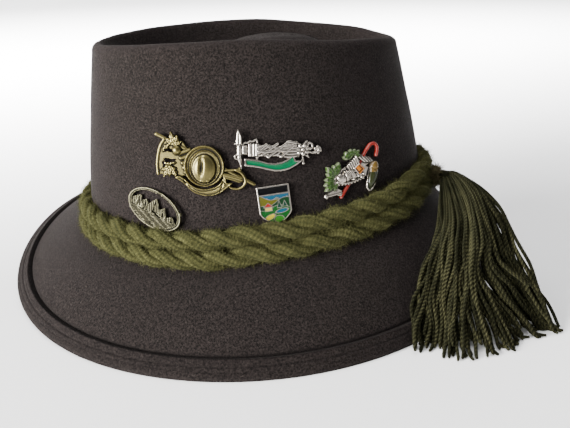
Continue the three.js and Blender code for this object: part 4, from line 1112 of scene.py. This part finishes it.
def buildAxePin(silver, enamelPaint):
    length, plate = axePin["length"], axePin["plate"]
    pin = Relief(length, axePin["box"], axePin["step"])
    pin.bar((-0.45, -0.002), (0.2, 0.0), 0.05 * length, 0.0)
    # strands of the bundled rope: they lie along a round bundle and cross each other
    for k in range(6):
        lane = -0.08 + 0.032 * k
        wave = 0.012 * math.sin(1.9 * k)
        bulk = 1.5 * math.sqrt(max(1 - (lane / 0.105) ** 2, 0))
        over = -0.6 if k % 2 else 0.8
        places = [(-0.24, lane * 0.75), (-0.12, lane * over + wave), (0.0, lane * over - wave),
                  (0.12, lane * 1.08), (0.23, lane)]
        pin.wire(places, 0.62 + 0.08 * (k % 3), 0.3 + bulk)
    for start, end in (((-0.2, -0.06), (0.0, 0.075)), ((-0.12, -0.085), (0.1, 0.07)),
                       ((0.04, -0.085), (0.2, 0.05)), ((-0.24, -0.01), (-0.14, 0.07))):
        pin.bar(start, end, 0.66, 1.9)
    # ferrule, rings and the curl of the loop
    pin.slab([(-0.443, 0.06), (-0.377, 0.068), (-0.377, -0.053), (-0.443, -0.045)], 2.1, 0.6)
    for x, radius in ((-0.35, 0.5), (-0.332, 0.62), (-0.295, 0.62), (-0.262, 0.55)):
        pin.bar((x, 0.074), (x - 0.004, -0.061), radius, 1.75)
    curl = [(-0.36, 0.1), (-0.335, 0.113), (-0.3, 0.112), (-0.26, 0.132), (-0.249, 0.1), (-0.27, 0.075)]
    pin.wire(curl, 0.42, 1.0)
    pin.wire([(-0.46, 0.0), (-0.42, 0.085), (-0.36, 0.1)], 0.36, 0.9)
    pin.dome(-0.254, -0.081, 0.02, 0.02, 0.8, 0.7)
    # head of the axe: blade up, pick down, with an edge along its middle
    head = [(-0.484, 0.268), (-0.465, 0.235), (-0.439, 0.157), (-0.445, 0.07), (-0.458, 0.0),
            (-0.449, -0.1), (-0.452, -0.17), (-0.458, -0.226), (-0.474, -0.17), (-0.498, -0.1),
            (-0.492, 0.0), (-0.508, 0.07), (-0.508, 0.157), (-0.498, 0.225)]
    distance = pin.slab(roundOutline(head), plate * 1.45, 0.6)
    pin.groove(pin.segment((-0.474, 0.2), (-0.474, 0.09))[0], 0.35, 0.35, distance < 0)
    pin.groove(pin.segment((-0.5, 0.075), (-0.44, 0.075))[0], 0.22, 0.5, distance < 0)
    pin.bar((-0.474, 0.05), (-0.476, -0.04), 1.15, plate * 0.9)
    ring = [(-0.5, -0.045), (-0.53, -0.06), (-0.525, -0.09), (-0.5, -0.1), (-0.478, -0.085),
            (-0.49, -0.055)]
    pin.wire(ring, 0.42, plate)
    pin.bar((-0.505, 0.09), (-0.528, 0.084), 0.4, plate * 0.8, tip=0.25)
    # flowers, leaves, a small loop and the bud
    for x, y, half in ((0.235, 0.115, 0.022), (0.385, 0.118, 0.025), (0.25, -0.1, 0.024),
                       (0.405, -0.11, 0.026), (0.2, 0.1, 0.02)):
        pin.leaf((0.3, -0.005), (x, y), half, 0.7, plate * 0.75, 4)
    for k in range(7):
        angle = 2 * math.pi * k / 7 + 0.3
        middle = (0.316 + 0.058 * math.cos(angle), -0.004 + 0.05 * math.sin(angle))
        pin.dome(*middle, 0.036, 0.028, 1.0, plate * 1.35, math.degrees(angle))
    pin.dome(0.316, -0.004, 0.03, 0.028, 1.2, plate * 1.7)
    loop = [(0.37, 0.03), (0.395, 0.075), (0.43, 0.07), (0.44, 0.03), (0.415, 0.005), (0.385, 0.015)]
    pin.wire(loop, 0.5, plate * 1.2)
    pin.wire([(0.4, -0.03), (0.44, -0.045), (0.48, -0.03)], 0.55, plate)
    for k in range(5):
        angle = 2 * math.pi * k / 5
        middle = (0.5 + 0.026 * math.cos(angle), -0.015 + 0.03 * math.sin(angle))
        pin.dome(*middle, 0.024, 0.02, 0.7, plate * 1.1, math.degrees(angle))
    pin.wire([(0.5, 0.035), (0.53, 0.03), (0.547, 0.0), (0.545, -0.03)], 0.35, plate)
    pin.bar((0.316, -0.08), (0.325, -0.165), 0.4, plate * 0.6)
    pin.dome(0.325, -0.172, 0.018, 0.018, 0.7, plate * 0.7)
    pin.bar((-0.26, -0.15), (-0.254, -0.06), 0.45, plate * 0.5)
    distance = pin.slab(axeRibbon, plate * 1.4, 0.25)
    pin.top = np.where(distance < -axePin["border"], plate * 0.8, pin.top)
    setPin(pin, "pin_ice_axe_casting", "axe", silver, "silver", "pin_ice_axe")
    # enamel that fills the ribbon's tray, its surface drawn up a little at the border
    fill = Relief(length, axePin["box"], axePin["step"])
    inner = distance + axePin["border"] + 0.04
    fill.put(inner, plate * 1.4 - 0.12 - axePin["enamelDrop"] * (1 - np.exp(inner / 0.6)))
    setPin(fill, "pin_ice_axe_ribbon_enamel", "axe", enamelPaint, "green_enamel", "pin_ice_axe_ribbon",
           plate * 0.85)


# Oval badge: double rim, pierced sky over peaks, fir trees in front and a hatched meadow
badge = {"length": 31.5, "width": 18.8, "plate": 1.2, "box": (-0.54, 0.54, -0.34, 0.34), "step": 0.175}


def buildBadge(material):
    length, plate = badge["length"], badge["plate"]
    halfX, halfY = 0.5, badge["width"] / length / 2
    pin = Relief(length, badge["box"], badge["step"])
    reach, outside = pin.oval(0, 0, halfX, halfY)
    x, y = pin.x / length, pin.y / length
    peaks = np.array([(-0.5, -0.06), (-0.4, 0.04), (-0.31, 0.11), (-0.25, 0.03), (-0.19, 0.09),
                      (-0.13, 0.02), (-0.02, 0.175), (0.09, 0.03), (0.16, 0.1), (0.25, -0.03), (0.33, 0.03),
                      (0.42, -0.05), (0.5, -0.09)])
    line = np.interp(x, peaks[:, 0], peaks[:, 1])
    slope = np.interp(x, peaks[:-1, 0] + np.diff(peaks[:, 0]) / 2,
                      np.diff(peaks[:, 1]) / np.diff(peaks[:, 0]))
    land = (y - line) * length * 0.6
    field = np.maximum(land, (reach - 0.93) * halfY * length)
    relief = plate * 0.75 + 0.25 * np.sign(slope) * np.clip(-land / 1.5, 0, 1) * (y > -0.08)
    relief = relief + 0.18 * np.sin(x * 150 + y * 60) * (y > -0.08)
    pin.put(field, relief)
    # fir trees: stacked pointed tiers, lower ones wider
    for fx, fy, size in ((-0.34, -0.07, 0.11), (-0.25, -0.09, 0.13), (0.22, -0.09, 0.12),
                         (0.32, -0.08, 0.1), (-0.16, -0.1, 0.09)):
        for tier in range(3):
            low = fy + size * 0.27 * tier
            half = size * (0.3 - 0.07 * tier)
            branches = [(fx - half, low), (fx + half, low), (fx, low + size * 0.42)]
            pin.slab(branches, plate * (0.98 + 0.08 * tier), 0.3)
    # meadow in front, with hatching, and a winding path
    hill = (y + 0.075 - 0.03 * np.sin(7 * x + 0.6)) * length * 0.8
    meadow = np.maximum(hill, (reach - 0.93) * halfY * length)
    pin.put(meadow, plate * 0.98 + 0.12 * np.sin(y * 300 + 6 * x))
    path = [(0.02, -0.09), (-0.04, -0.13), (0.05, -0.17), (0.0, -0.24), (0.06, -0.28)]
    pin.groove(pin.line(smoothPath(path))[0], 0.5, 0.35, reach < 0.9)
    rim = np.maximum(outside, -(reach - 0.885) * halfY * length)
    pin.put(rim, plate * 1.05 + 0.25 * np.maximum(1 - ((reach - 0.975) / 0.028) ** 2, 0) ** 0.5
            + 0.3 * np.exp(-(((reach - 0.905) / 0.012) ** 2)))
    valley, _ = pin.oval(0.06, -0.065, 0.1, 0.014, -10)
    pin.pierce((valley - 1) * 0.44)
    for angle in np.radians((27, 214)):  # two small bumps on the rim
        pin.dome(halfX * math.cos(angle), halfY * math.sin(angle), 0.03, 0.03, 0.9, plate * 0.5)
    setPin(pin, "pin_badge_casting", "badge", material, "pewter", "pin_badge")


# Shield: silver tray, plain black header, enamelled landscape with thin silver lines
shield = {"length": 19.3, "width": 15.8, "border": 0.8, "header": 3.0, "depth": 1.56,
          "box": (-0.45, 0.45, -0.58, 0.48), "step": 0.16, "line": 0.17, "enamelGap": 0.04}


def shieldShapes():
    half, high = shield["width"] / 2 / shield["length"], 0.45
    split = high - (shield["border"] + shield["header"]) / shield["length"]
    field = [(-half, split), (-half, -0.23), (-0.9 * half, -0.31), (-0.62 * half, -0.42),
             (-0.3 * half, -0.5), (0, -0.55), (0.3 * half, -0.5), (0.62 * half, -0.42), (0.9 * half, -0.31),
             (half, -0.23), (half, split)]
    drop = split - shield["border"] / shield["length"]
    header = [(-half, drop), (half, drop), (half, high), (-half, high)]
    return [*field, (half, high), (-half, high)], field, header, half


def buildShield(silver, header, scenery):
    length, depth, border = shield["length"], shield["depth"], shield["border"]
    outline, field, top, half = shieldShapes()
    pin, plain, picture = (Relief(length, shield["box"], shield["step"]) for _ in range(3))
    pin.slab(outline, depth, 0.3)
    wells = [pin.polygon(top) + border, pin.polygon(field) + border]
    for well in wells:
        pin.top = np.where(well < 0, depth * 0.55, pin.top)
    setPin(pin, "pin_shield_tray", "shield", silver, "silver", "pin_shield")
    plain.put(wells[0] + shield["enamelGap"], depth - 0.1 - 0.12 * (1 - np.exp(wells[0] / 0.5)))
    setPin(plain, "pin_shield_header_enamel", "shield", header, "black_enamel", "pin_shield_header",
           depth * 0.58)
    # scenery, from far to near: sky, peaks, hills, meadow, lake, hut and trees
    inner = wells[1] + shield["enamelGap"]
    picture.put(inner, depth - 0.1 - 0.14 * (1 - np.exp(inner / 0.5)), (0.0015, 0.035, 0.065))
    x, y = picture.x / half / length, picture.y / length
    wall = [(-0.26, -0.08), (-0.08, -0.08), (-0.08, -0.17), (-0.26, -0.17)]
    roof = [(-0.29, -0.07), (-0.17, 0.03), (-0.05, -0.07)]
    nearTree = [(0.05, -0.12), (0.11, 0.07), (0.17, -0.12)]
    farTree = [(0.19, -0.1), (0.25, 0.05), (0.31, -0.1)]
    ridge = y - 0.15 + 0.1 * np.abs(np.mod(2.2 * x + 0.35, 1.4) - 0.7)
    regions = [
        (ridge * length, (0.06, 0.065, 0.045)),
        ((y - 0.1 + 0.12 * x - 0.03 * np.sin(5 * x)) * length, (0.045, 0.042, 0.003)),
        ((y - 0.03 - 0.1 * x + 0.04 * np.cos(4 * x + 1)) * length, (0.0005, 0.015, 0.003)),
        ((y + 0.1 - 0.05 * np.sin(3.4 * x + 0.8)) * length, (0.001, 0.036, 0.003)),
        (picture.oval(0.16, -0.2, 0.16, 0.05, 8)[1], (0.002, 0.04, 0.065)),
        (picture.polygon(wall), (0.25, 0.2, 0.04)), (picture.polygon(roof), (0.16, 0.005, 0.003)),
        (picture.polygon(nearTree), (0.0008, 0.018, 0.009)),
        (picture.polygon(farTree), (0.0008, 0.018, 0.009)),
        (picture.oval(-0.16, -0.33, 0.15, 0.06, 20)[1], (0.22, 0.18, 0.003)),
        (picture.oval(0.07, -0.4, 0.13, 0.09, -10)[1], (0.01, 0.085, 0.004)),
    ]
    silverLine = np.zeros(x.shape)
    for distance, colour in regions:
        picture.colourIn(distance, colour)
        silverLine = np.where(distance < 0, 0, silverLine)
        beside = 1 - ease(np.abs(distance), shield["line"] * 0.5, shield["line"])
        silverLine = np.maximum(silverLine, beside)
    picture.enamel = 1 - silverLine
    picture.top = picture.top + 0.08 * silverLine
    setPin(picture, "pin_shield_scene_enamel", "shield", scenery, "scene_enamel", "pin_shield_scene",
           depth * 0.58)


# Walker's pin: a studded boot with ribbed bellows, a crooked red stick behind it, green
# sprigs, a dark coil, an orange square and a small hat seen nearly from its edge
bootPin = {"length": 37.0, "plate": 1.2, "stick": 0.85, "box": (-0.56, 0.56, -0.34, 0.36), "step": 0.17,
           "green": (0.02, 0.047, 0.006), "red": (0.15, 0.007, 0.004), "orange": (0.34, 0.1, 0.0005),
           "umber": (0.03, 0.008, 0.001), "tan": (0.08, 0.047, 0.009), "dark": (0.011, 0.014, 0.003),
           "coil": (0.003, 0.0035, 0.004)}


def buildBootPin(material):
    plate, stick = bootPin["plate"], bootPin["stick"]
    pin = Relief(bootPin["length"], bootPin["box"], bootPin["step"])
    pin.slab([(-0.29, -0.1), (-0.28, -0.02), (-0.2, 0.05), (-0.1, 0.09), (0, 0.15), (0.08, 0.2),
              (0.2, 0.18), (0.33, 0.12), (0.31, 0.05), (0.2, 0.02), (0.18, -0.04), (0.13, -0.12),
              (-0.1, -0.16), (-0.25, -0.13)], plate * 0.9)
    pin.wire([(-0.262, -0.296), (-0.1, -0.15), (0.08, 0.03), (0.22, 0.173), (0.34, 0.273), (0.395, 0.295),
              (0.44, 0.285), (0.468, 0.235), (0.455, 0.18), (0.428, 0.127)], stick, stick * 0.7,
             colour=bootPin["red"])
    # sprigs: rise and height of the leaves, then where each starts and ends, and half its width
    upper = [(0.0, 0.17, -0.13, 0.222, 0.034), (-0.02, 0.16, -0.07, 0.285, 0.042),
             (0.0, 0.17, 0.02, 0.3, 0.042), (0.03, 0.2, 0.09, 0.29, 0.034),
             (0.05, 0.18, 0.155, 0.262, 0.034), (0.06, 0.165, 0.16, 0.2, 0.026)]
    lower = [(-0.27, 0.0, -0.21, 0.17, 0.044), (-0.28, 0.0, -0.3, 0.15, 0.034),
             (-0.3, -0.01, -0.41, 0.15, 0.042), (-0.31, -0.03, -0.43, 0.065, 0.036),
             (-0.32, -0.06, -0.475, -0.01, 0.04), (-0.33, -0.09, -0.5, -0.085, 0.042),
             (-0.33, -0.11, -0.5, -0.16, 0.036), (-0.29, -0.08, -0.37, -0.19, 0.034),
             (-0.26, 0.01, -0.35, 0.07, 0.03)]
    for rise, height, leaves in ((1.2, plate * 0.8, upper), (1.25, plate, lower)):
        for fromX, fromY, toX, toY, half in leaves:
            pin.leaf((fromX, fromY), (toX, toY), half, rise, height, 3, colour=bootPin["green"], blunt=1.2)
    pin.wire([(-0.25, 0.1), (-0.3, 0.0), (-0.33, -0.1), (-0.33, -0.18)], 0.5, plate * 1.1)
    # stem and its end below the boot
    pin.slab([(-0.51, -0.255), (-0.505, -0.2), (-0.4, -0.175), (-0.32, -0.15), (-0.25, -0.2),
              (-0.245, -0.26), (-0.26, -0.29), (-0.38, -0.25)], plate, 0.4)
    pin.bar((-0.5, -0.235), (-0.26, -0.24), 0.75, plate * 0.6)
    pin.dome(-0.5, -0.235, 0.03, 0.036, 0.9, plate * 0.9)
    # boot: foot, toe cap, ankle, laces, welt and studs under the sole
    pin.dome(-0.16, -0.055, 0.135, 0.075, 1.9, plate * 1.1, 14)
    pin.dome(-0.235, -0.045, 0.06, 0.065, 1.6, plate * 1.35, 20)
    pin.dome(-0.02, -0.045, 0.11, 0.085, 1.8, plate, -10)
    pin.dome(0.06, -0.06, 0.085, 0.07, 1.6, plate, 10)
    welt = [(-0.295, -0.085), (-0.2, -0.125), (-0.06, -0.135), (0.06, -0.12), (0.13, -0.1)]
    pin.wire(welt, 0.62, plate * 1.5)
    for k in range(9):
        y = -0.125 - 0.025 * math.sin(math.pi * k / 8)
        pin.dome(-0.28 + 0.05 * k, y, 0.018, 0.018, 0.7, plate * 1.3)
    for k in range(7):
        pin.dome(-0.13 + 0.043 * k, -0.085 + 0.02 * math.sin(2.3 * k), 0.018, 0.017, 0.7, plate * 2.2)
    for start, end in (((-0.17, 0.02), (-0.16, -0.12)), ((-0.1, 0.0), (0.12, -0.045)),
                       ((0.0, -0.03), (0.02, -0.12))):
        pin.groove(pin.segment(start, end)[0], 0.3, 0.7)
    for k in range(5):
        x = -0.17 + 0.03 * k
        pin.bar((x, 0.03 - 0.004 * k), (x + 0.03, -0.02 - 0.008 * k), 0.3, plate * 2.35)
    # ribbed bellows above the boot
    bellows = [(-0.112, 0.078), (-0.093, 0.1), (0.085, 0.195), (0.11, 0.05), (-0.05, -0.035)]
    pin.slab(bellows, plate * 1.5, colour=bootPin["coil"])
    for k in range(6):
        shift = k / 5
        start = (-0.093 + 0.165 * shift, 0.088 + 0.09 * shift)
        end = (-0.055 + 0.148 * shift, -0.022 + 0.068 * shift)
        pin.bar(start, end, 0.45, plate * 1.65)
    # coil with dark turns to its right
    for k in range(8):
        shift = k / 7
        start = (0.125 + 0.17 * shift, 0.165 - 0.05 * shift)
        end = (0.2 + 0.13 * shift, 0.085 - 0.02 * shift)
        pin.bar(start, end, 0.52, plate * 1.2 + 0.5 * math.sin(math.pi * shift),
                colour=bootPin["coil"] if k % 2 else None)
    # orange square inside a raised rim
    square = [(0.0885, 0.087), (0.1665, -0.004), (0.051, -0.068), (-0.0116, 0.038)]
    distance = pin.slab(square, plate * 2.45, 0.3)
    pin.colourIn(distance + 0.28, bootPin["orange"])
    gap, _ = pin.line([(0.083, 0.055), (0.125, 0.0), (0.055, -0.03), (0.022, 0.025)])
    pin.groove(gap, 0.3, 0.4, distance < 0)
    pin.colourIn(np.maximum(gap - 0.34, distance), bootPin["umber"])
    # small hat: rim seen nearly from its edge, dark green crown, tan top
    pin.slab([(0.15, 0.06), (0.15, -0.08), (0.24, -0.16), (0.3, -0.02)], plate * 0.9)
    turn = math.degrees(math.atan2(0.044 + 0.318, 0.356 - 0.157))
    reach, distance = pin.oval(0.275, -0.14, 0.215, 0.08, turn)
    pin.put(distance, plate * 1.35 + 0.55 * np.exp(-(((reach - 0.93) / 0.07) ** 2)))
    pin.colourIn((reach - 0.86) * 3, bootPin["dark"])
    pin.dome(0.295, -0.13, 0.165, 0.07, 1.7, plate * 1.3, turn, colour=bootPin["dark"])
    pin.dome(0.33, -0.04, 0.105, 0.066, 1.6, plate * 1.45, turn, colour=bootPin["tan"])
    gap, _ = pin.line(smoothPath([(0.27, 0.0), (0.32, -0.05), (0.39, -0.07)]))
    pin.groove(gap, 0.4, 0.45, reach < 1)
    setPin(pin, "pin_boot_casting", "boot", material, "silver", "pin_boot")


metals = {  # bright, dark, roughness, thinness of the enamel
    "antique brass": ((0.128, 0.108, 0.042), (0.006, 0.005, 0.0022), 0.24),
    "antique pewter": ((0.075, 0.07, 0.043), (0.007, 0.0066, 0.0042), 0.34),
    "darkened silver": ((0.38, 0.345, 0.3), (0.003, 0.0025, 0.002), 0.16),
    "painted silver": ((0.4, 0.36, 0.31), (0.003, 0.0025, 0.002), 0.16, 0.2),
    "landscape enamel": ((0.22, 0.2, 0.18), (0.03, 0.027, 0.024), 0.22),
}
enamels = {  # colour, roughness, specular level
    "green enamel": ((0.0003, 0.06, 0.022), 0.2, 0.25), "black enamel": ((0.001, 0.001, 0.0012), 0.3, 0.1),
}
paints = {name: metalFinish(name, *look) for name, look in metals.items()}
for enamelName, (enamelColour, enamelRough, enamelShine) in enamels.items():
    paints[enamelName] = Finish(enamelName, Base_Color=enamelColour, Roughness=enamelRough,
                                Specular_IOR_Level=enamelShine).material
buildHatPin(paints["antique brass"])
buildAxePin(paints["darkened silver"], paints["green enamel"])
buildBadge(paints["antique pewter"])
buildShield(paints["darkened silver"], paints["black enamel"], paints["landscape enamel"])
buildBootPin(paints["painted silver"])

# Camera at the photograph's viewing angle: place in millimetres and angles in degrees, in the
# hat's frame; back and right are turned by the yaw
view = {"lens": 37.2, "back": 345.0, "height": 170.0, "right": 15.8, "yaw": -16.84, "pitch": 23.11,
        "roll": -1.67}


def placeCamera():
    yaw, pitch = math.radians(view["yaw"]), math.radians(view["pitch"])
    back = np.array([math.sin(yaw), -math.cos(yaw), 0])
    right = np.array([math.cos(yaw), math.sin(yaw), 0])
    up = np.array([0, 0, 1.0])
    away = back * math.cos(pitch) + up * math.sin(pitch)
    level = np.cross(away, right)
    roll = math.radians(view["roll"])
    acrossView = right * math.cos(roll) + level * math.sin(roll)
    upView = -right * math.sin(roll) + level * math.cos(roll)
    spot = toFrame(back * view["back"] + up * view["height"] + right * view["right"])
    camera = bpy.data.objects.new("camera", bpy.data.cameras.new("camera"))
    camera.data.lens = view["lens"]
    camera.data.sensor_width = 36
    camera.data.clip_start = 0.01
    camera.matrix_world = Matrix([*zip(acrossView, upView, away, spot), (0, 0, 0, 1)])
    bpy.context.scene.collection.objects.link(camera)
    bpy.context.scene.camera = camera


# Stage: a pale floor that curves up into a backdrop all round, height = rise * ease(distance)^2,
# in metres
stage = {"radius": 6.0, "flat": 2.6, "rise": 2.2, "rings": 48, "spokes": 96, "paper": (0.93, 0.927, 0.923)}


def buildStage():
    rings, spokes = stage["rings"], stage["spokes"]
    reach = np.linspace(0, 1, rings)[1:] ** 1.5 * stage["radius"]
    angle = 2 * math.pi * np.arange(spokes) / spokes
    height = stage["rise"] * ease(reach, stage["flat"], stage["radius"]) ** 2
    grid = np.stack([np.outer(reach, np.cos(angle)), np.outer(reach, np.sin(angle)),
                     np.outer(height, np.ones(spokes))], -1)
    points = np.concatenate([grid.reshape(-1, 3), [[0, 0, 0]]])
    spin = np.arange(spokes)
    fan = np.stack([np.full(spokes, len(points) - 1), spin, (spin + 1) % spokes], 1)
    paint = Finish("pale paper", Base_Color=stage["paper"], Roughness=0.9, Specular_IOR_Level=0.1)
    floor = makePiece("floor", points, [gridQuads(rings - 1, spokes)[:, ::-1], fan], paint.material)


lamps = {  # watts, place, target and size in metres, colour
    "window": (315, (-1.97, -0.65, 0.47), (0, 0, 0.06), (1.3, 1.1), (1.0, 0.99, 0.97)),
    "ceiling": (76, (-0.2, 0.6, 2.3), (0, 0.4, 0), (2.4, 2.4), (1, 1, 1)),
    "far window": (440, (-0.3, 0.75, 1.0), (-0.3, 2.1, 0), (2.8, 0.8), (1, 1, 1)),
}
sky = {"colour": (0.93, 0.95, 1.0, 1), "strength": 0.5}


def addLight(name, energy, spot, target, size, colour):
    light = bpy.data.lights.new(name, "AREA")
    light.energy, light.color, light.shape = energy, colour, "RECTANGLE"
    light.size, light.size_y = size
    lamp = bpy.data.objects.new(name, light)
    lamp.location = spot
    lamp.rotation_euler = (Vector(target) - Vector(spot)).to_track_quat("-Z", "Y").to_euler()
    bpy.context.scene.collection.objects.link(lamp)


def lightScene():
    world = bpy.data.worlds.new("studio")
    world.use_nodes = True
    world.node_tree.nodes["Background"].inputs["Color"].default_value = sky["colour"]
    world.node_tree.nodes["Background"].inputs["Strength"].default_value = sky["strength"]
    bpy.context.scene.world = world
    for name, lamp in lamps.items():
        addLight(name, *lamp)


placeCamera()
buildStage()
lightScene()
print("stage, camera and lights placed")
